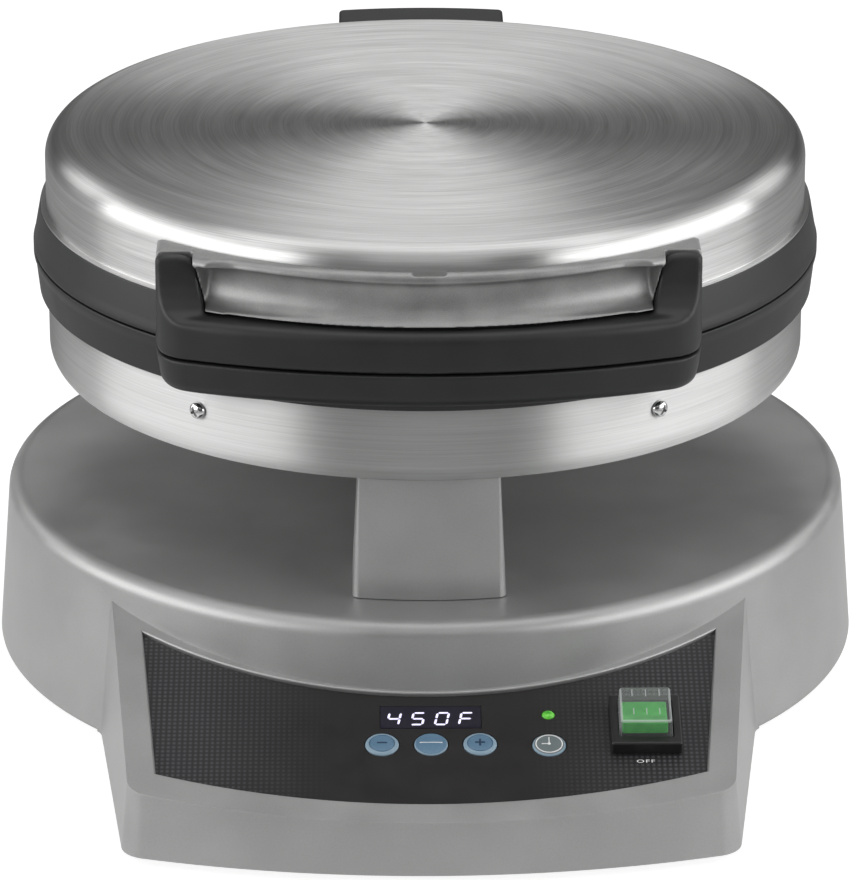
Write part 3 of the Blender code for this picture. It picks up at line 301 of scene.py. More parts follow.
def rectangle(across, up, width, length):
    return [(across - width / 2, up - length / 2), (across + width / 2, up - length / 2),
            (across + width / 2, up + length / 2), (across - width / 2, up + length / 2)]


def round_rectangle(across, up, width, length, radius, steps=4):
    outline = []
    for side_x, side_y, start in ((1, -1, -90), (1, 1, 0), (-1, 1, 90), (-1, -1, 180)):
        centre = (across + side_x * (width / 2 - radius), up + side_y * (length / 2 - radius))
        outline += arc(centre, radius, start, start + 90, steps)
    return outline


def copied(name, source, width):
    """A copy of a CAD node with its points merged and its sharp edges eased."""
    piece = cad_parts[source].copy()
    piece.data = piece.data.copy()
    bpy.context.scene.collection.objects.link(piece)
    piece.name = name
    piece.parent = None
    edit(piece)
    bpy.ops.mesh.remove_doubles(threshold=0.01 * MM)
    bpy.ops.mesh.dissolve_limited(angle_limit=math.radians(1))
    put_down()
    modify(piece, "BEVEL", width=width, segments=2, limit_method="ANGLE",
           angle_limit=math.radians(30), use_clamp_overlap=True)
    return smooth(piece, 35)


def finish_piece(piece, material, body, stands_for=None):
    """Give a piece its material and its body, and hide the node that it stands for."""
    piece.data.materials.clear()
    piece.data.materials.append(material)
    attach(piece, body)
    if stands_for:
        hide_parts(stands_for)
    return piece


# Shader parts

def group(name, inputs, outputs):
    """Start a shader node group with named sockets."""
    tree = bpy.data.node_groups.new(name, "ShaderNodeTree")
    for label, value in inputs.items():
        kind = "NodeSocketColor" if isinstance(value, tuple) else "NodeSocketFloat"
        socket = tree.interface.new_socket(label, in_out="INPUT", socket_type=kind)
        socket.default_value = value
    for label, kind in outputs.items():
        tree.interface.new_socket(label, in_out="OUTPUT", socket_type=kind)
    return tree, tree.nodes.new("NodeGroupInput"), tree.nodes.new("NodeGroupOutput")


def node(tree, kind, values=None, links=None, **settings):
    """Add a shader node with its settings, its socket values and its links."""
    made = tree.nodes.new(kind)
    for name, value in settings.items():
        setattr(made, name, value)
    for socket, value in (values or {}).items():
        made.inputs[socket].default_value = value
    for socket, source in (links or {}).items():
        tree.links.new(source, made.inputs[socket])
    return made


def math_node(tree, operation, *values):
    made = tree.nodes.new("ShaderNodeMath")
    made.operation = operation
    for index, value in enumerate(values):
        if isinstance(value, (int, float)):
            made.inputs[index].default_value = value
        else:
            tree.links.new(value, made.inputs[index])
    return made.outputs[0]


def grain_group():
    """Fine grain and a coarser cloud, two masks that waver about one half."""
    tree, take_in, give = group("fine_grain", {"Scale": 900.0, "Cloud Scale": 25.0},
                                {"Grain": "NodeSocketFloat", "Cloud": "NodeSocketFloat"})
    place = node(tree, "ShaderNodeTexCoord").outputs["Object"]
    fine = node(tree, "ShaderNodeTexNoise", {"Detail": 3.0, "Roughness": 0.6},
                {"Vector": place, "Scale": take_in.outputs["Scale"]})
    cloud = node(tree, "ShaderNodeTexNoise", {"Detail": 2.0, "Roughness": 0.5},
                 {"Vector": place, "Scale": take_in.outputs["Cloud Scale"]})
    tree.links.new(fine.outputs["Fac"], give.inputs["Grain"])
    tree.links.new(cloud.outputs["Fac"], give.inputs["Cloud"])
    return tree


def turned_grain_group():
    """Fine lines that run round an upright axis, as a turned brush leaves them."""
    tree, take_in, give = group("turned_grain", {"Fineness": 1400.0, "Centre Y": HEAD_Y, "Length": 1.6},
                                {"Lines": "NodeSocketFloat", "Streaks": "NodeSocketFloat"})
    place = node(tree, "ShaderNodeTexCoord").outputs["Object"]
    split = node(tree, "ShaderNodeSeparateXYZ", None, {"Vector": place})
    along = math_node(tree, "SUBTRACT", split.outputs["Y"], take_in.outputs["Centre Y"])
    square = math_node(tree, "ADD", math_node(tree, "MULTIPLY", split.outputs["X"], split.outputs["X"]),
                       math_node(tree, "MULTIPLY", along, along))
    radius = math_node(tree, "SQRT", square)
    reach = math_node(tree, "ADD", radius, 0.0001)
    turn_x = math_node(tree, "MULTIPLY", math_node(tree, "DIVIDE", split.outputs["X"], reach),
                       take_in.outputs["Length"])
    turn_y = math_node(tree, "MULTIPLY", math_node(tree, "DIVIDE", along, reach), take_in.outputs["Length"])
    run = math_node(tree, "SUBTRACT", radius, split.outputs["Z"])
    fine = math_node(tree, "MULTIPLY", run, take_in.outputs["Fineness"])
    broad = math_node(tree, "MULTIPLY", fine, 0.12)
    for label, depth, detail in (("Lines", fine, 3.0), ("Streaks", broad, 4.0)):
        vector = node(tree, "ShaderNodeCombineXYZ", None, {"X": turn_x, "Y": turn_y, "Z": depth})
        noise = node(tree, "ShaderNodeTexNoise", {"Scale": 1.0, "Detail": detail, "Roughness": 0.65},
                     {"Vector": vector.outputs[0]})
        tree.links.new(noise.outputs["Fac"], give.inputs[label])
    return tree


def weave_group():
    """A woven pattern of small squares that fades out towards the middle of the panel."""
    tree, take_in, give = group("woven_squares", {"Pitch Across": 2.5 * MM, "Pitch Up": 2.8 * MM,
                                                  "Fade Start": 0.045, "Fade End": 0.105},
                                {"Weave": "NodeSocketFloat", "Presence": "NodeSocketFloat"})
    place = node(tree, "ShaderNodeTexCoord").outputs["Object"]
    split = node(tree, "ShaderNodeSeparateXYZ", None, {"Vector": place})
    up = math_node(tree, "DIVIDE", split.outputs["Y"], math.cos(TILT))
    waves = []
    for source, pitch in ((split.outputs["X"], "Pitch Across"), (up, "Pitch Up")):
        turns = math_node(tree, "DIVIDE", source, take_in.outputs[pitch])
        wave = math_node(tree, "SINE", math_node(tree, "MULTIPLY", turns, 2 * math.pi))
        waves.append(math_node(tree, "MULTIPLY_ADD", wave, 0.5, 0.5))
    product = math_node(tree, "MULTIPLY", *waves)
    across = math_node(tree, "ABSOLUTE", split.outputs["X"])
    fade = node(tree, "ShaderNodeMapRange", None, {"Value": across, "From Min": take_in.outputs["Fade Start"],
                                                   "From Max": take_in.outputs["Fade End"]})
    tree.links.new(product, give.inputs["Weave"])
    tree.links.new(fade.outputs["Result"], give.inputs["Presence"])
    return tree


# The colour sockets of a Mix node, which shares its labels among several kinds
MIX_A, MIX_B, MIX_RESULT = 6, 7, 2

GRAIN = grain_group()
TURNED_GRAIN = turned_grain_group()
WEAVE = weave_group()


def new_material(name, colour, roughness, metallic, **sockets):
    """A Principled material; returns it with its tree and shader."""
    made = bpy.data.materials.new(name)
    made.use_nodes = True
    tree = made.node_tree
    shader = tree.nodes["Principled BSDF"]
    shader.inputs["Base Color"].default_value = (*colour, 1)
    shader.inputs["Roughness"].default_value = roughness
    shader.inputs["Metallic"].default_value = metallic
    for label, value in sockets.items():
        shader.inputs[label.replace("_", " ")].default_value = value
    return made, tree, shader


def use_group(tree, kind, **values):
    made = tree.nodes.new("ShaderNodeGroup")
    made.node_tree = kind
    for label, value in values.items():
        made.inputs[label.replace("_", " ")].default_value = value
    return made


def two_tone(tree, mask, low, high, from_min=0.3, from_max=0.7):
    """Spread a mask between two colours."""
    spread = node(tree, "ShaderNodeMapRange", {"From Min": from_min, "From Max": from_max}, {"Value": mask})
    mixed = node(tree, "ShaderNodeMix", None, {"Factor": spread.outputs["Result"]}, data_type="RGBA")
    mixed.inputs[MIX_A].default_value = (*low, 1)
    mixed.inputs[MIX_B].default_value = (*high, 1)
    return mixed.outputs[MIX_RESULT]


def spread_value(tree, mask, low, high, from_min=0.3, from_max=0.7):
    """Spread a mask between two values."""
    spread = node(tree, "ShaderNodeMapRange", {"From Min": from_min, "From Max": from_max,
                                               "To Min": low, "To Max": high}, {"Value": mask})
    return spread.outputs["Result"]


def bump(tree, shader, height, strength, distance):
    made = node(tree, "ShaderNodeBump", {"Strength": strength, "Distance": distance}, {"Height": height})
    tree.links.new(made.outputs["Normal"], shader.inputs["Normal"])


def grained(name, low, high, rough_low, rough_high, metallic, scale, cloud, strength, distance):
    """A finish with fine grain in its colour, gloss and surface."""
    made, tree, shader = new_material(name, low, rough_low, metallic)
    grain = use_group(tree, GRAIN, Scale=scale, Cloud_Scale=cloud)
    mask = math_node(tree, "ADD", math_node(tree, "MULTIPLY", grain.outputs["Grain"], 0.6),
                     math_node(tree, "MULTIPLY", grain.outputs["Cloud"], 0.4))
    tree.links.new(two_tone(tree, mask, low, high, 0.38, 0.62), shader.inputs["Base Color"])
    tree.links.new(spread_value(tree, grain.outputs["Cloud"], rough_low, rough_high),
                   shader.inputs["Roughness"])
    bump(tree, shader, grain.outputs["Grain"], strength, distance)
    return made


def brushed(name, low, high, rough_low, rough_high, fineness, anisotropic):
    """Metal brushed round an upright axis."""
    made, tree, shader = new_material(name, low, rough_low, 1,
                                      Anisotropic=anisotropic, Anisotropic_Rotation=0.25)
    grain = use_group(tree, TURNED_GRAIN, Fineness=fineness)
    mask = math_node(tree, "ADD", math_node(tree, "MULTIPLY", grain.outputs["Lines"], 0.55),
                     math_node(tree, "MULTIPLY", grain.outputs["Streaks"], 0.45))
    tree.links.new(two_tone(tree, mask, low, high, 0.36, 0.64), shader.inputs["Base Color"])
    tree.links.new(spread_value(tree, grain.outputs["Streaks"], rough_low, rough_high),
                   shader.inputs["Roughness"])
    tangent = node(tree, "ShaderNodeTangent", direction_type="RADIAL", axis="Z")
    tree.links.new(tangent.outputs["Tangent"], shader.inputs["Tangent"])
    bump(tree, shader, grain.outputs["Lines"], 0.12, 0.03 * MM)
    return made


SILVER = grained("silver_paint", (0.40, 0.40, 0.398), (0.47, 0.47, 0.468),
                 0.42, 0.50, 0.75, 2600, 30, 0.18, 0.04 * MM)
BRUSHED_LID = brushed("brushed_lid", (0.52, 0.52, 0.515), (0.76, 0.76, 0.755), 0.31, 0.36, 1500, 0.9)
BRUSHED_PAN = brushed("brushed_pan", (0.62, 0.62, 0.615), (0.76, 0.76, 0.755), 0.43, 0.47, 1300, 0.95)
SATIN = grained("satin_casting", (0.28, 0.28, 0.278), (0.40, 0.40, 0.396),
                0.46, 0.52, 0.85, 3200, 60, 0.3, 0.05 * MM)
BLACK = grained("dark_moulding", (0.015, 0.015, 0.016), (0.021, 0.021, 0.022),
                0.42, 0.50, 0, 2400, 40, 0.12, 0.05 * MM)
GLOSS_BLACK = grained("switch_black", (0.010, 0.010, 0.010), (0.016, 0.016, 0.016),
                      0.30, 0.38, 0, 2000, 60, 0.05, 0.03 * MM)
RUBBER = grained("foot_rubber", (0.018, 0.018, 0.018), (0.03, 0.03, 0.03),
                 0.7, 0.85, 0, 1500, 50, 0.3, 0.08 * MM)
COATED = grained("plate_coat", (0.033, 0.033, 0.034), (0.043, 0.043, 0.044),
                 0.39, 0.46, 0.3, 1800, 20, 0.25, 0.04 * MM)
STEEL = grained("plain_steel", (0.50, 0.50, 0.49), (0.62, 0.62, 0.61),
                0.26, 0.36, 1, 1200, 40, 0.08, 0.02 * MM)
CHROME = grained("bright_screw", (0.72, 0.72, 0.72), (0.8, 0.8, 0.8), 0.08, 0.14, 1, 900, 60, 0.03, 0.02 * MM)
BLUE_KEY = grained("blue_key", (0.085, 0.17, 0.26), (0.11, 0.205, 0.30),
                   0.36, 0.44, 0, 2200, 120, 0.06, 0.03 * MM)
PALE_KEY = grained("pale_key_rim", (0.20, 0.30, 0.38), (0.26, 0.36, 0.44),
                   0.34, 0.42, 0, 2200, 120, 0.06, 0.03 * MM)
GREY_KEY = grained("grey_key", (0.13, 0.16, 0.165), (0.16, 0.19, 0.195),
                   0.36, 0.44, 0, 2200, 120, 0.06, 0.03 * MM)
WHITE_INK = grained("white_ink", (0.74, 0.74, 0.74), (0.82, 0.82, 0.82),
                    0.45, 0.55, 0, 2600, 120, 0.04, 0.02 * MM)
NAVY_INK = grained("navy_ink", (0.01, 0.03, 0.07), (0.016, 0.04, 0.085),
                   0.45, 0.55, 0, 2600, 120, 0.04, 0.02 * MM)
BOARD = grained("green_board", (0.01, 0.06, 0.025), (0.02, 0.10, 0.045),
                0.4, 0.5, 0, 1500, 60, 0.1, 0.03 * MM)


def sheet_material():
    made, tree, shader = new_material("printed_sheet", (0.019, 0.017, 0.017), 0.34, 0)
    weave = use_group(tree, WEAVE)
    grain = use_group(tree, GRAIN, Scale=2600, Cloud_Scale=80)
    amount = math_node(tree, "MULTIPLY", weave.outputs["Weave"], weave.outputs["Presence"])
    colour = two_tone(tree, amount, (0.014, 0.0125, 0.0125), (0.075, 0.077, 0.085), 0.0, 0.95)
    tree.links.new(colour, shader.inputs["Base Color"])
    tree.links.new(spread_value(tree, grain.outputs["Cloud"], 0.32, 0.4), shader.inputs["Roughness"])
    bump(tree, shader, grain.outputs["Grain"], 0.06, 0.02 * MM)
    return made


def glowing(name, low, high, strength, scale, roughness=0.2):
    """A lit plastic whose glow wavers a little."""
    made, tree, shader = new_material(name, low, roughness, 0, Emission_Strength=strength)
    grain = use_group(tree, GRAIN, Scale=2200, Cloud_Scale=scale)
    colour = two_tone(tree, grain.outputs["Cloud"], low, high)
    tree.links.new(colour, shader.inputs["Base Color"])
    tree.links.new(colour, shader.inputs["Emission Color"])
    bump(tree, shader, grain.outputs["Grain"], 0.04, 0.02 * MM)
    return made


def clear_material(name, faint_low, faint_high):
    made, tree, shader = new_material(name, (0.86, 0.9, 0.9), 0.12, 0, IOR=1.5)
    grain = use_group(tree, GRAIN, Scale=1500, Cloud_Scale=90)
    # The milky white shows more strongly where faces are seen edge-on: the plastic's own milkiness,
    # strengthened there as a painted sheen along the edges.
    edge = node(tree, "ShaderNodeLayerWeight", {"Blend": 0.35})
    faint = spread_value(tree, edge.outputs["Facing"], faint_low, faint_high, 0.3, 1.0)
    tree.links.new(faint, shader.inputs["Alpha"])
    tree.links.new(spread_value(tree, grain.outputs["Cloud"], 0.10, 0.16), shader.inputs["Roughness"])
    bump(tree, shader, grain.outputs["Grain"], 0.04, 0.03 * MM)
    return made


SHEET = sheet_material()
WINDOW = grained("dark_window", (0.008, 0.007, 0.016), (0.013, 0.011, 0.024),
                 0.08, 0.13, 0, 900, 60, 0.02, 0.01 * MM)
DIGIT = glowing("lit_digit", (0.66, 0.62, 0.86), (0.80, 0.78, 0.96), 0.75, 500)
GREEN = glowing("lit_green", (0.02, 0.22, 0.03), (0.04, 0.33, 0.05), 0.12, 120)
LAMP = glowing("lamp_green", (0.03, 0.26, 0.02), (0.16, 0.62, 0.06), 0.22, 420, 0.1)
CLEAR = clear_material("clear_cover", 0.05, 0.5)
# A whiter, more opaque copy of the clear cover: a painted highlight for the hood's crown edges and its ribs.
CLEAR_PAINTED_HIGHLIGHT = clear_material("clear_cover_painted_highlight", 0.3, 0.6)


# Base casting: drum and console in one

def drum_solid(name):
    neck = BASE_NECK_R - SHOULDER
    profile = [(0, BASE_TOP)] + arc((neck, BASE_TOP - SHOULDER), SHOULDER, 90, 0, 8)
    profile += arc((BASE_R - RIM_ROUND, FOOT + RIM_ROUND), RIM_ROUND, 0, -90, 4) + [(0, FOOT)]
    return turned(name, profile)


def console_outline():
    """Bowed front, round corners, leaning sides and hollow fillets that run out on the drum."""
    centre, turn = bowed_corner(HALF_WIDTH, REACH, BOW, CORNER, LEAN)
    half = arc((0, BOW - REACH), BOW, -90, turn, 16)
    half += arc(centre, CORNER, turn, -math.degrees(LEAN), 8)[1:]
    start = Vector((HALF_WIDTH, -REACH))
    along = Vector((math.sin(LEAN), math.cos(LEAN)))
    out = Vector((math.cos(LEAN), -math.sin(LEAN)))
    first = start + out * ROOT_FILLET
    middle = first.dot(along)
    run = -middle - math.sqrt(middle ** 2 - first.length_squared + (BASE_R + ROOT_FILLET) ** 2)
    fillet = first + along * run
    begin = math.degrees(math.atan2(-out.y, -out.x))
    end = math.degrees(math.atan2(-fillet.y, -fillet.x))
    hollow = arc(fillet, ROOT_FILLET, begin, end, 6)
    half += hollow
    touch = Vector(hollow[-1])
    half += [tuple(touch * 0.93), (touch.x * 0.8, -100 * MM)]
    return mirrored(half)


def is_panel(face):
    return face.normal.dot(PANEL_UP) > 0.999


def console_solid(name):
    block = draw(name, [(x, y, FOOT) for x, y in console_outline()], closed=True)
    edit(block, "FACE")
    shape = bmesh.from_edit_mesh(block.data)
    if shape.faces[:][0].normal.z < 0:
        bpy.ops.mesh.flip_normals()
    bpy.ops.mesh.inset(thickness=CONSOLE_RISE * DRAFT, depth=CONSOLE_RISE)
    choose(block, "EDGE", lambda edge: edge.is_boundary)
    bpy.ops.mesh.edge_face_add()
    bpy.ops.mesh.select_all(action="SELECT")
    bpy.ops.mesh.normals_make_consistent(inside=False)
    bpy.ops.mesh.bisect(plane_co=PANEL.translation, plane_no=PANEL_UP, use_fill=True, clear_outer=True)
    bpy.ops.mesh.select_all(action="SELECT")
    bpy.ops.mesh.remove_doubles(threshold=SEAM)
    bpy.ops.mesh.normals_make_consistent(inside=False)
    rear = HEAD_Y - 102 * MM

    def on_slope_edge(edge):
        on_panel = [is_panel(face) for face in edge.link_faces]
        return any(on_panel) and not all(on_panel) and edge.verts[0].co.y < rear

    round_over(block, on_slope_edge, 3.2 * MM, 5, clamp=True)
    return block


def sheet_outline(grow=0.0):
    """The printed sheet's outline on the slope, bowed up at both ends."""
    outline = []
    rows = ((13.8, 124.3, 368.4, -grow, 1), (90.6, 133.45, 216.2, grow, -1))
    for level, half, bow, shift, way in rows:
        for step in range(-24, 25):
            across = way * (half * MM + grow) * step / 24
            up = (level + bow) * MM + shift - math.sqrt((bow * MM) ** 2 - across ** 2)
            outline.append((across, up))
    return outline


KEYS = {"minus_button": (-22.29, 56.7), "mode_button": (0, 56.7), "plus_button": (22.29, 56.7),
        "timer_button": (53.68, 55.9)}
KEY_R = 7.7 * MM
KEY_SKIRT = [(7.7, -0.5), (7.7, -3.9), (0, -3.9)]
LAMP_PLACE = (53.88 * MM, 77.4 * MM)
SWITCH_PLACE = (97.9 * MM, 66.9 * MM)


def panel_tools(name, loose):
    """Tools for the openings of keys, lamp, window and switch."""
    depth = (OPENING_FLOOR, OPENING_TOP)
    tools = [rod(name + "_" + body, (x * MM, y * MM), KEY_R + 0.4 * MM + loose, *depth)
             for body, (x, y) in KEYS.items()]
    tools.append(rod(name + "_lamp", LAMP_PLACE, 3.3 * MM + loose, *depth, 32))
    tools.append(slab(name + "_window", rectangle(0, DISPLAY_UP, 46.6 * MM, 16 * MM), *depth))
    tools.append(slab(name + "_switch", rectangle(*SWITCH_PLACE, 25 * MM, 25.9 * MM), *depth))
    return [settle(tool, PANEL) for tool in tools]


def base_casting():
    casting = drum_solid("base_casting")
    carve(casting, console_solid("console"), "UNION")
    steep = 0.35
    drum_reach, drum_inner = 209 * MM, 204 * MM

    def on_drum_joint(edge):
        start = edge.verts[0].co
        return len(edge.link_faces) == 2 and any(is_panel(face) for face in edge.link_faces) \
            and any(abs(face.normal.z) < steep and face.normal.y < 0 for face in edge.link_faces) \
            and start.y > HEAD_Y - drum_reach and (start - HEAD).to_2d().length > drum_inner

    round_over(casting, on_drum_joint, 1.5 * MM, 4, clamp=True)
    recess = settle(slab("recess", sheet_outline(FIT), RECESS_FLOOR, OPENING_TOP), PANEL)
    carve(casting, recess)
    inverse = PANEL.inverted()

    rim_foot, rim_top, rim_side = 12 * MM, 141 * MM, 134.2 * MM

    def on_rim(edge):
        places = [inverse @ vert.co for vert in edge.verts]
        level = all(abs(place.z) < 0.02 * MM for place in places)
        inside = all(rim_foot < place.y < rim_top and abs(place.x) < rim_side for place in places)
        return level and inside and any(is_panel(face) for face in edge.link_faces) \
            and any(abs(face.normal.dot(PANEL_UP)) < 0.1 for face in edge.link_faces)

    round_over(casting, on_rim, 0.9 * MM, 4, clamp=True)
    for tool in panel_tools("opening", 1.5 * MM):
        carve(casting, tool)
    disc = rod("disc", (0, HEAD_Y), 208.2 * MM, BELOW, FOOT + UNDERCUT, 180)
    carve(casting, disc)
    under = draw("under", [(x, y, BELOW) for x, y in console_outline()], closed=True)
    edit(under, "FACE")
    bpy.ops.mesh.inset(thickness=3 * MM, depth=0)
    bpy.ops.mesh.select_all(action="INVERT")
    bpy.ops.mesh.delete(type="FACE")
    bpy.ops.mesh.select_all(action="SELECT")
    bpy.ops.mesh.extrude_region_move(TRANSFORM_OT_translate={"value": (0, 0, FOOT - BELOW + UNDERCUT)})
    bpy.ops.mesh.select_all(action="SELECT")
    bpy.ops.mesh.normals_make_consistent(inside=False)
    put_down()
    carve(casting, under)
    smooth(casting, 32)
    flat_normals(casting)
    return finish_piece(casting, SILVER, "base", "base_housing")


# Panel pieces

def printed_sheet():
    sheet = settle(slab("printed_sheet", sheet_outline(), RECESS_FLOOR + FIT, SHEET_TOP), PANEL)
    for tool in panel_tools("window", 0.0):
        carve(sheet, tool)
    smooth(sheet)
    return finish_piece(sheet, SHEET, "base", "control_overlay")


def display():
    glass = round_rectangle(0, DISPLAY_UP, 46 * MM, 15.4 * MM, 0.5 * MM)
    window = slab("display_glass", glass, -5 * MM, GLASS_TOP)
    finish_piece(smooth(settle(window, PANEL)), WINDOW, "base", "display_window")
    height, width, stroke = 8.2 * MM, 5.2 * MM, 1.05 * MM
    gap = 0.25 * MM
    slant = 0.17
    tip = stroke / 2
    pitch, middle = 11.0 * MM, 74.9 * MM
    half = {"a": (0, height, 0), "g": (0, height / 2, 0), "d": (0, 0, 0),
            "f": (-width / 2, 0.75 * height, 1), "b": (width / 2, 0.75 * height, 1),
            "e": (-width / 2, 0.25 * height, 1), "c": (width / 2, 0.25 * height, 1)}
    bars = []
    for index, lit in enumerate(("bcfg", "acdfg", "abcdef", "aefg")):
        centre = (index - 1.5) * pitch - 0.3 * MM
        for letter in lit:
            across, up, upright = half[letter]
            reach = (height / 2 if upright else width) / 2 - gap
            shape = [(-reach, 0), (-reach + tip, -tip), (reach - tip, -tip),
                     (reach, 0), (reach - tip, tip), (-reach + tip, tip)]
            if upright:
                shape = [(y, x) for x, y in shape][::-1]
            outline = []
            for x, y in shape:
                level = up + y - height / 2
                outline.append((centre + across + x + level * slant, middle + level))
            bars.append(slab("bar", outline, GLASS_TOP, GLASS_TOP + 0.07 * MM))
    digits = settle(together("display_digits", bars), PANEL)
    finish_piece(digits, DIGIT, "base")


def key(name, colour, profile, rim, body):
    """A domed key with a pale rim between two radii; returns its place on the slope."""
    x, y = KEYS[body]
    cap = turned(name, scaled(profile + KEY_SKIRT), Vector(), SMALL_ROUND)
    place = PANEL @ Matrix.Translation((x * MM, y * MM, SHEET_TOP))
    finish_piece(settle(cap, place), colour, body, body)
    cap.data.materials.append(PALE_KEY)
    low, high = rim[0] * MM, rim[1] * MM
    for face in cap.data.polygons:
        away = (Vector(face.center) - place.translation).cross(PANEL_UP).length
        if low < away < high:
            face.material_index = 1
    return place


def prints(name, place, shapes, material, body):
    """Thin printed or raised marks on a key."""
    marks = [slab("mark", outline, low * MM, high * MM) for outline, low, high in shapes]
    piece = settle(together(name, marks), place)
    finish_piece(piece, material, body)


def keys():
    ridged = [(0, 1.35), (2.6, 1.3), (4.6, 1.1), (5.3, 0.95), (5.55, 0.6), (5.75, 0.6), (6.0, 0.95),
              (6.5, 0.9), (7.2, 0.55), (7.6, 0.1)]
    plain = [(0, 1.35), (3.0, 1.28), (5.4, 1.02), (6.6, 0.78), (7.2, 0.5), (7.6, 0.1)]
    flat = [(0, 0.9), (4.0, 0.88), (6.2, 0.8), (6.9, 0.6), (7.5, 0.1)]
    place = key("minus_key", BLUE_KEY, ridged, (5.9, 7.65), "minus_button")
    bar = rectangle(0, 0, 4.6 * MM, 0.9 * MM)
    prints("minus_sign", place, [(bar, 1.2, 1.42)], NAVY_INK, "minus_button")
    place = key("plus_key", BLUE_KEY, ridged, (5.9, 7.65), "plus_button")
    upright = rectangle(0, 0, 0.9 * MM, 4.6 * MM)
    prints("plus_sign", place, [(bar, 1.2, 1.42), (upright, 1.2, 1.421)], NAVY_INK, "plus_button")
    place = key("mode_key", BLUE_KEY, plain, (6.9, 7.65), "mode_button")
    line = rectangle(0, 0, 10.4 * MM, 0.42 * MM)
    prints("mode_line", place, [(line, 1.02, 1.38)], WHITE_INK, "mode_button")
    place = key("timer_key", GREY_KEY, flat, (6.8, 7.65), "timer_button")
    dial = scaled([(5.75, 0.93), (6.25, 0.91), (6.25, 0.7), (5.75, 0.7)])
    hands = [turned("timer_ring", dial, Vector(), SMALL_ROUND, closed=True),
             slab("hand", rectangle(0, 2.3 * MM, 0.45 * MM, 4.6 * MM), 0.8 * MM, 0.96 * MM),
             slab("hand", rectangle(-1.7 * MM, 0, 3.4 * MM, 0.5 * MM), 0.8 * MM, 0.961 * MM),
             rod("hub", (0, 0), 0.75 * MM, 0.8 * MM, 1.0 * MM, 24)]
    piece = settle(together("timer_hands", hands), place)
    finish_piece(piece, WHITE_INK, "timer_button")


def lamp():
    profile = [(0, 1.3), (0.9, 1.22), (1.8, 0.95), (2.5, 0.5), (2.9, 0.0), (3.0, -0.6), (3.0, -4.6),
               (0, -4.6)]
    lens = turned("lamp_lens", scaled(profile), Vector(), 48)
    place = PANEL @ Matrix.Translation((*LAMP_PLACE, SHEET_TOP))
    finish_piece(settle(lens, place), LAMP, "base", "ready_lamp")


def switch():
    across, up = SWITCH_PLACE
    top = SHEET_TOP + 6.3 * MM
    bezel_outline = round_rectangle(across, up, 32.2 * MM, 35.1 * MM, 1.2 * MM)
    bezel = slab("switch_bezel", bezel_outline, SHEET_TOP + FIT, top)
    round_over(bezel, lambda edge: all(vert.co.z > top - 0.01 * MM for vert in edge.verts), 1.0 * MM, 4)
    well_outline = round_rectangle(across, up, 25.3 * MM, 26.2 * MM, 1.0 * MM)
    carve(bezel, slab("well", well_outline, -20 * MM, 20 * MM))
    bezel = flat_normals(smooth(settle(bezel, PANEL), 35))
    finish_piece(bezel, GLOSS_BLACK, "base", "switch_frame")

    foot = SHEET_TOP + 1.4 * MM
    crown = top + 8.8 * MM
    hood_outline = round_rectangle(across - 0.25 * MM, up, 24.7 * MM, 25.6 * MM, 1.4 * MM)
    cover = slab("switch_hood", hood_outline, foot, crown)
    choose(cover, "FACE", lambda face: face.normal.z > 0.9)
    bpy.ops.transform.resize(value=(0.935, 0.94, 1))
    round_over(cover, lambda edge: all(vert.co.z > crown - 0.01 * MM for vert in edge.verts), 1.1 * MM, 4)
    choose(cover, "FACE", lambda face: face.normal.z < -0.9)
    bpy.ops.mesh.delete(type="FACE")
    modify(cover, "SOLIDIFY", thickness=0.75 * MM, offset=-1)
    ribs = []
    for spread, y, length in ((6.2, 7.6, 4.6), (5.9, -5.6, 4.4)):
        for x in (-spread, 0, spread):
            rib = round_rectangle(across + x * MM, up + y * MM, 0.5 * MM, length * MM, 0.24 * MM, 2)
            ribs.append(slab("rib", rib, crown - 0.02 * MM, crown + 0.3 * MM))
    cover = together("switch_hood", [cover] + ribs)
    finish_piece(smooth(settle(cover, PANEL), 40), CLEAR, "base", "switch_cover")
    # The crown's rounded edge and the ribs get the whiter copy, a painted highlight along them.
    cover.data.materials.append(CLEAR_PAINTED_HIGHLIGHT)
    for face in cover.data.polygons:
        place = PANEL.inverted() @ face.center
        on_painted_highlight = place.z > crown - 1.0 * MM and 0.15 < abs(face.normal.dot(PANEL_UP)) < 0.98
        if on_painted_highlight or place.z > crown + 0.01 * MM:
            face.material_index = 1

    half = 10.2 * MM
    width = 20.8 * MM
    side = [(-half, 1.5 * MM), (half, 1.5 * MM), (half, 7.4 * MM), (0, 6.1 * MM), (-half, 7.4 * MM)]
    rocker = thicken(draw("rocker", [(-width / 2, y, z) for y, z in side], closed=True), (width, 0, 0))
    modify(rocker, "BEVEL", width=0.9 * MM, segments=3, limit_method="ANGLE", angle_limit=math.radians(30))
    stroke = slab("stroke", rectangle(0, 3.6 * MM, 0.6 * MM, 3.4 * MM), 6.2 * MM, 6.75 * MM)
    rocker = together("rocker", [rocker, stroke])
    pivot = Matrix.Translation((across - 0.6 * MM, up - 0.3 * MM, 0.1 * MM))
    place = PANEL @ pivot @ Matrix.Rotation(math.radians(-11), 4, "X")
    rocker = flat_normals(smooth(settle(rocker, place), 40))
    finish_piece(rocker, GREEN, "switch_rocker", "switch_rocker")


def label():
    put_down()
    bpy.ops.object.text_add(location=(0, 0, 0))
    words = bpy.context.object
    words.data.body = "OFF"
    words.data.size = 3.0 * MM
    words.data.align_x = "CENTER"
    words.data.extrude = 0.02 * MM
    words.data.space_character = 1.15
    bpy.ops.object.convert(target="MESH")
    words.name = "off_label"
    place = PANEL @ Matrix.Translation((97.2 * MM, 43.3 * MM, SHEET_TOP + 0.01 * MM))
    place = place @ Matrix.Diagonal((1.5, 1, 1, 1))
    finish_piece(settle(words, place), WHITE_INK, "base")


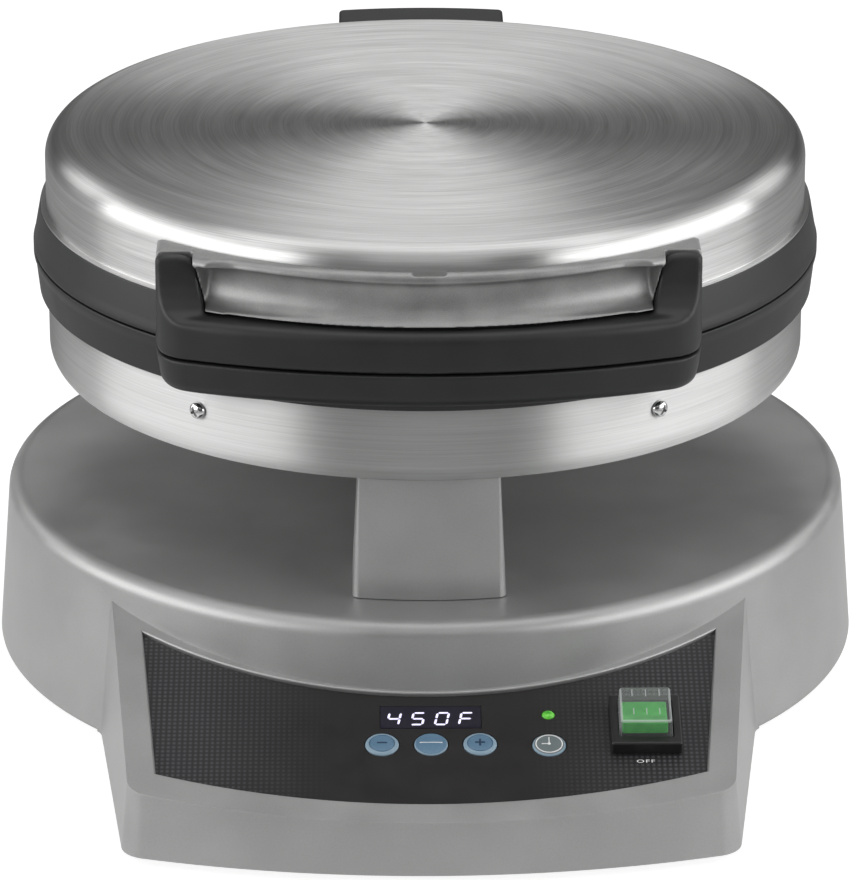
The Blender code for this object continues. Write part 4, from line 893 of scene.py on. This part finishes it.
# Head

def side_height(side, distance):
    """The height that lies a distance in millimetres above or below the parting line."""
    return PARTING + side * distance * MM


def from_parting(points, side):
    """Profile points given as radius and distance from the parting line, in millimetres."""
    return [(radius * MM, side_height(side, distance)) for radius, distance in points]


def ring(name, side, height, draw_in, body, node_name):
    inner = PLATE_R / MM + 0.3
    points = [(inner, 0.4), (189.3, 0.4), (189.8, 0.65), (190.0, 1.1), (190.0, 2.6), (189.3, 5.0),
              (188.9, 7.0),
              (190 - draw_in, height - 0.5), (189.6 - draw_in, height),
              (183.7, height), (183.7, 4.7), (inner, 4.7)]
    piece = turned(name, from_parting(points, side), closed=True)
    finish_piece(flat_normals(piece), BLACK, body, node_name)


def shell(name, side, height, corner, hem, material, body, slot, node_name):
    rim = 5.0
    start = 80
    centre = (183.4 - corner, height - corner * math.sin(math.radians(start)))
    flat = centre[0] + corner * math.cos(math.radians(start))
    outer = [(0, height), (flat * 0.5, height), (flat - 0.8, height)] + arc(centre, corner, start, 0, 14)
    outer += [(183.4, height * 0.6)] + hem + [(183.4, rim)]
    inner = [(182.2, rim)] + arc(centre, corner - 1.2, 0, 90, 4) + [(0, height - 1.2)]
    piece = turned(name, from_parting(outer + inner, side))
    finish_piece(flat_normals(piece), material, body, node_name)


def plate(name, side, body, node_name):
    points = [(0, 1.0), (163.4, 1.0), (164.6, 1.4), (165.0, 2.4), (165.0, 15.0), (0, 15.0)]
    piece = turned(name, from_parting(points, side))
    finish_piece(flat_normals(piece), COATED, body, node_name)


def head_tool(name, side, drum_height, ring_height, draw_in):
    """The head's outer form, grown by the fit, as a cutting tool."""
    points = [(0, drum_height + 6), (183.7, drum_height + 6), (183.7, ring_height + 0.3),
              (190.3 - draw_in, ring_height + 0.3), (190.3, 1.2), (190.3, -6), (0, -6)]
    return turned(name, from_parting(points, side))


# Where the arm's inner side stands at its top and at its foot, in millimetres from the middle, and
# how far forward of the head's axis its back is and how low it starts
ARM_INNER = 107.2
ARM_FOOT = 98.4
ARM_BACK = 154.3
ARM_LOW = 205


def grip_outline():
    """The handle's outline from above: a bowed front with round corners and leaning sides."""
    reach, half, bow, corner = 195.6 * MM, 119.4 * MM, 320 * MM, 18 * MM
    lean = math.radians(8)
    back = 150 * MM
    centre, turn = bowed_corner(half, reach, bow, corner, lean)
    line = arc((0, bow - reach), bow, -90, turn, 24) + arc(centre, corner, turn, -3, 8)[1:]
    line.append((half + (reach - back) * math.tan(lean), -back))
    return mirrored(line)


def arm_front(name, side, loose):
    """One arm's form from the front: its inner side leans out, and its crown is rounded."""
    top, outer = 249.0 + loose, 125.6 + loose
    lean = math.atan2(ARM_INNER - ARM_FOOT, 44)
    inner_round, outer_round = 8.0, 4.0
    level = top - inner_round
    inner_foot = ARM_FOOT - loose
    centre = (inner_foot + (level - ARM_LOW) * math.tan(lean) + inner_round / math.cos(lean), level)
    profile = [(inner_foot, ARM_LOW - loose)] + arc(centre, inner_round, 180 - math.degrees(lean), 90, 8)
    profile += arc((outer - outer_round, top - outer_round), outer_round, 90, 0, 6)
    profile.append((outer, ARM_LOW - loose))
    back = HEAD_Y - (ARM_BACK - loose) * MM
    piece = draw(name, [(side * x * MM, back, z * MM) for x, z in profile], closed=True)
    return thicken(piece, (0, -46 * MM, 0))


def arm(name, side):
    """One arm of the handle: its side view, trimmed to its front view and to the handle's outline."""
    line = [(-ARM_BACK, ARM_LOW), (-ARM_BACK, 249.5), (-160.6, 249.5), (-161.4, 242), (-162.8, 236),
            (-165.2, 230.5), (-168.6, 226), (-173.0, 222.5), (-179.0, 219.6), (-187.0, 217.5), (-197, 216),
            (-197, ARM_LOW)]
    piece = draw(name, [(side * 95 * MM, y * MM + HEAD_Y, z * MM) for y, z in line], closed=True)
    thicken(piece, (side * 34 * MM, 0, 0))
    carve(piece, arm_front("front", side, 0.0), "INTERSECT")
    return carve(piece, slab("clip", grip_outline(), 200 * MM, 260 * MM), "INTERSECT")


def soften(piece, voxel, rounds):
    """Blend edges and joints as a mould does."""
    modify(piece, "REMESH", mode="VOXEL", voxel_size=voxel, use_smooth_shade=True)
    modify(piece, "SMOOTH", factor=0.5, iterations=rounds)
    take(piece)
    bpy.ops.object.shade_smooth()
    return piece


def handles():
    crown = 223.8 * MM
    bar = slab("handle_upper", grip_outline(), 204.2 * MM, crown)
    round_over(bar, lambda edge: all(vert.co.z > crown - TOUCH for vert in edge.verts)
               and edge.verts[0].co.y < HEAD_Y - 150.1 * MM, 5 * MM, 6)
    for side in (-1, 1):
        carve(bar, arm("arm", side), "UNION")
    carve(bar, head_tool("seat", *UPPER))
    finish_piece(soften(bar, 0.75 * MM, 26), BLACK, "lid", "upper_handle")
    bottom = 187.4 * MM
    grip = slab("handle_lower", grip_outline(), bottom, 203.4 * MM)
    choose(grip, "FACE", lambda face: face.normal.z < -0.9)
    bpy.ops.transform.resize(value=(0.984, 0.985, 1))
    round_over(grip, lambda edge: all(vert.co.z < bottom + TOUCH for vert in edge.verts)
               and edge.verts[0].co.y < HEAD_Y - 151 * MM, 5.5 * MM, 6)
    carve(grip, head_tool("seat", *LOWER))
    finish_piece(soften(grip, 0.7 * MM, 5), BLACK, "base", "lower_grip")


def scoop_tool(name, bow, ends):
    """The finger scoop under the bracket's lip; at both ends it runs out in a round."""
    low, top = 20.0, LIP_TOP
    section = [(206, top + 2), (183.4, top + 2), (184.4, top), (186.2, top - 0.4), (187.6, top - 1.5),
               (188.0, top - 3.2), (187.7, top - 5.2), (186.6, top - 7.8), (185.6, top - 11),
               (185.3, top - 14),
               (185.9, top - 17.5), (187.4, top - 20.5), (189.6, top - 23), (192.0, low + 0.6), (192.6, low),
               (193.4, low - 5), (206, low - 5)]
    shift = bow - 188.0
    centre = HEAD + Vector((0, shift * MM, 0))
    piece = swept(name, from_parting([(radius + shift, distance) for radius, distance in section], 1),
                  ends, centre)
    turn = math.radians(ends)
    for side in (-1, 1):
        along = Vector((side * math.cos(turn), math.sin(turn), 0))
        out = Vector((side * math.sin(turn), -math.cos(turn), 0))
        here = Vector()
        for step in range(1, 7):
            angle = math.radians(15 * step)
            there = (along * 11 * math.sin(angle) + out * 7.5 * (1 - math.cos(angle))) * MM
            if step == 1:
                choose(piece, "FACE", lambda face: face.normal.dot(along) > 0.99
                       and face.calc_area() > 200 * MM * MM)
            bpy.ops.mesh.extrude_region_move(TRANSFORM_OT_translate={"value": there - here})
            bpy.ops.transform.rotate(value=math.radians(-4) * side, orient_axis="Y",
                                     center_override=(side * 100 * MM, HEAD_Y - 165 * MM,
                                                      side_height(1, low)))
            here = there
    put_down()
    return piece


def bracket():
    """The cast bracket behind the handle: a rounded lip over a finger scoop, with an ear behind each arm."""
    bow = 226.0
    front = arc((0, bow - 193.0), bow, -118.4, -61.6, 48)
    outline = [(x * MM, y * MM + HEAD_Y) for x, y in front]
    outline += [(107.6 * MM, HEAD_Y - 140 * MM), (-107.6 * MM, HEAD_Y - 140 * MM)]
    low, high = side_height(1, 20.8), side_height(1, LIP_TOP)
    block = slab("handle_bracket_casting", outline, low, high)
    round_over(block, lambda edge: all(vert.co.z > high - TOUCH and vert.co.y < HEAD_Y - 150 * MM
                                       for vert in edge.verts), 3.5 * MM, 5)
    ears = slab("ears", rectangle(0, HEAD_Y - 134 * MM, 249 * MM, 40 * MM), low, high)
    round_over(ears, lambda edge: abs(edge.verts[0].co.x - edge.verts[1].co.x) < MM
               and abs(edge.verts[0].co.y - edge.verts[1].co.y) > MM
               and edge.verts[0].co.z > high - TOUCH, 2.5 * MM, 4)
    carve(block, ears, "UNION")
    carve(block, head_tool("seat", *UPPER))
    carve(block, soften(scoop_tool("scoop", bow, 23.1), 1.0 * MM, 8))
    top = LIP_TOP
    hollow = [(200, top - 3.6), (188.4, top - 3.8), (186.6, top - 5.6), (185.5, top - 8.5), (185.2, top - 12),
              (185.4, top - 15), (186.4, top - 18.5), (188.4, top - 21.3), (191.5, top - 23.2),
              (200, top - 24)]
    carve(block, soften(swept("hollow", from_parting(hollow, 1), 32.7), 1.0 * MM, 14))
    for side in (-1, 1):
        carve(block, arm_front("arm_gap", side, 0.35))
    notch = slab("notch", rectangle(0, HEAD_Y - 182.8 * MM, 15.2 * MM, 6.8 * MM),
                 high - 2.6 * MM, high + 5 * MM)
    carve(block, notch)
    finish_piece(soften(block, 0.6 * MM, 4), SATIN, "lid", "handle_bracket")


def screws():
    profile = [(0, 3.0), (1.5, 2.85), (2.9, 2.3), (3.8, 1.45), (4.25, 0.5), (4.3, 0), (1.9, 0), (1.9, -5.5),
               (0, -5.5)]
    for name, side in (("pan_screw_left", -1), ("pan_screw_right", 1)):
        screw = turned(name + "_head", scaled(profile), Vector(), 48)
        for turn in (45, 135):
            slot = slab("slot", rectangle(0, 0, 5.0 * MM, 1.25 * MM), 1.2 * MM, 5 * MM)
            settle(slot, Matrix.Rotation(math.radians(turn + 20 * side), 4, "Z"))
            carve(screw, slot)
        azimuth = math.radians(35.5) * side - math.pi / 2
        outward = Matrix.Rotation(azimuth, 4, "Z") @ Matrix.Rotation(math.radians(90), 4, "Y")
        place = Matrix.Translation((0, HEAD_Y, PARTING - 34.3 * MM)) @ outward \
            @ Matrix.Translation((0, 0, 183.7 * MM))
        finish_piece(smooth(settle(screw, place), 35), CHROME, "base", name)


def head():
    hem = [(183.4, 21.5), (183.6, 21.2), (185.9, 21.1), (186.2, 20.9), (186.2, 20.5), (183.5, 20.5)]
    shell("lid_shell", *UPPER[:2], 12.7, hem, BRUSHED_LID, "lid", "brushed_steel", "lid_cover")
    shell("pan_shell", *LOWER[:2], 11.5, [], BRUSHED_PAN, "base", "brushed_steel", "lower_pan")
    ring("ring_upper", UPPER[0], *UPPER[2:], "lid", "upper_ring")
    ring("ring_lower", LOWER[0], *LOWER[2:], "base", "lower_ring")
    plate("plate_upper", 1, "lid", "upper_plate")
    plate("plate_lower", -1, "base", "lower_plate")
    handles()
    bracket()
    screws()


def plain_nodes():
    """Pieces that keep the CAD's form, with their edges eased."""
    rows = (("front_pillar", SILVER, "base", "silver_paint", 0.8),
            ("rear_pillar", SILVER, "base", "silver_paint", 0.8),
            ("upper_hinge_block", BLACK, "lid", "black_plastic", 0.8),
            ("lower_hinge_block", BLACK, "base", "black_plastic", 0.8),
            ("upper_hinge_leaf", STEEL, "lid", "inner_metal", 0.2),
            ("lower_hinge_leaf", STEEL, "base", "inner_metal", 0.2),
            ("hinge_pin", STEEL, "base", "inner_metal", 0.2),
            ("inlet_bush", BLACK, "base", "black_plastic", 0.3),
            ("foot_front_left", RUBBER, "base", "foot_rubber", 0.3),
            ("foot_front_right", RUBBER, "base", "foot_rubber", 0.3),
            ("foot_rear_left", RUBBER, "base", "foot_rubber", 0.3),
            ("foot_rear_right", RUBBER, "base", "foot_rubber", 0.3))
    for name, material, body, slot, width in rows:
        piece = copied(name + "_piece", name, width * MM)
        finish_piece(flat_normals(piece), material, body, name)
    kept = {"base_plate": STEEL, "lower_element": STEEL, "lower_reflector": STEEL, "lower_sensor": STEEL,
            "upper_element": STEEL, "upper_reflector": STEEL, "upper_sensor": STEEL, "display_module": BLACK,
            "control_board": BOARD, "switch_body": GLOSS_BLACK}
    for name, material in kept.items():
        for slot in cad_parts[name].material_slots:
            slot.material = material


base_casting()
printed_sheet()
display()
keys()
lamp()
switch()
label()
head()
plain_nodes()


# Studio: the floor as the camera sees it, and as the metal mirrors it, with a painted pool of light that is
# bright at the middle and fades outward
FLOOR_SIZE = 14
FLOOR_LIFT = 0.84
PAINTED_POOL_NEAR = 0.5
PAINTED_POOL_FAR = 0.05
PAINTED_POOL_FADE = (0.3, 0.65)
HORIZON = 0.06
ZENITH = 0.25
LAMP_AIM = Vector((0, 0, 0.12))
LAMPS = (("left_box", (-1.45, -0.46, 0.62), (2.2, 1.0), 19),
         ("right_box", (1.45, -0.46, 0.62), (2.2, 1.0), 19),
         ("rear_left_box", (-1.3, 0.95, 0.85), (0.7, 0.7), 2),
         ("rear_right_box", (1.3, 0.95, 0.85), (0.7, 0.7), 2),
         ("top_strip", (0, 1.5, 1.5), (0.5, 1.0), 2.4),
         ("top_box", (0, -0.2, 2.2), (3.0, 1.4), 18),
         ("front_fill", (0, -2.2, 1.9), (1.6, 0.8), 3))
CAMERA_LENS = 213.8
CAMERA_PLACE = (-0.026, -2.405 + HEAD_Y, 1.033)
CAMERA_AIM = Vector((0.0106, 0.9318, -0.3627))


def studio():
    put_down()
    bpy.ops.mesh.primitive_plane_add(size=FLOOR_SIZE, location=(0, 0, 0))
    floor = bpy.context.object
    floor.name = "floor"
    material, tree, shader = new_material("pale_floor", (0.32, 0.32, 0.32), 0.9, 0)
    path = node(tree, "ShaderNodeLightPath")
    place = node(tree, "ShaderNodeTexCoord").outputs["Object"]
    # Glossy and transmission rays see the floor brighter at the middle and dimmer outward: a painted pool of
    # light for the metal to mirror.
    away = node(tree, "ShaderNodeVectorMath", None, {0: place}, operation="LENGTH")
    painted_pool = spread_value(tree, away.outputs["Value"], PAINTED_POOL_NEAR, PAINTED_POOL_FAR, *PAINTED_POOL_FADE)
    seen_in = math_node(tree, "MAXIMUM", path.outputs["Is Glossy Ray"], path.outputs["Is Transmission Ray"])
    reflected = math_node(tree, "MULTIPLY", seen_in, painted_pool)
    direct = math_node(tree, "MULTIPLY", path.outputs["Is Camera Ray"], FLOOR_LIFT)
    shader.inputs["Emission Color"].default_value = (1, 1, 1, 1)
    tree.links.new(math_node(tree, "MAXIMUM", reflected, direct), shader.inputs["Emission Strength"])
    floor.data.materials.append(material)

    world = bpy.data.worlds.new("studio")
    bpy.context.scene.world = world
    world.use_nodes = True
    tree = world.node_tree
    back = tree.nodes["Background"]
    back.inputs["Color"].default_value = (1, 1, 1, 1)
    path = node(tree, "ShaderNodeLightPath")
    place = node(tree, "ShaderNodeTexCoord").outputs["Generated"]
    split = node(tree, "ShaderNodeSeparateXYZ", None, {"Vector": place})
    lift = spread_value(tree, split.outputs["Z"], HORIZON, ZENITH, 0.0, 0.9)
    strength = math_node(tree, "MAXIMUM", lift, path.outputs["Is Camera Ray"])
    tree.links.new(strength, back.inputs["Strength"])

    for name, place, size, power in LAMPS:
        light = bpy.data.lights.new(name, "AREA")
        light.shape = "RECTANGLE"
        light.size, light.size_y = size
        light.energy = power
        holder = bpy.data.objects.new(name, light)
        bpy.context.scene.collection.objects.link(holder)
        holder.location = place
        holder.rotation_euler = (LAMP_AIM - Vector(place)).to_track_quat("-Z", "Y").to_euler()

    lens = bpy.data.cameras.new("camera")
    lens.lens = CAMERA_LENS
    lens.sensor_width = 36
    lens.clip_start = 0.05
    camera = bpy.data.objects.new("camera", lens)
    bpy.context.scene.collection.objects.link(camera)
    camera.location = CAMERA_PLACE
    camera.rotation_euler = CAMERA_AIM.to_track_quat("-Z", "Y").to_euler()
    bpy.context.scene.camera = camera
    bpy.context.scene.view_settings.view_transform = "Standard"


studio()
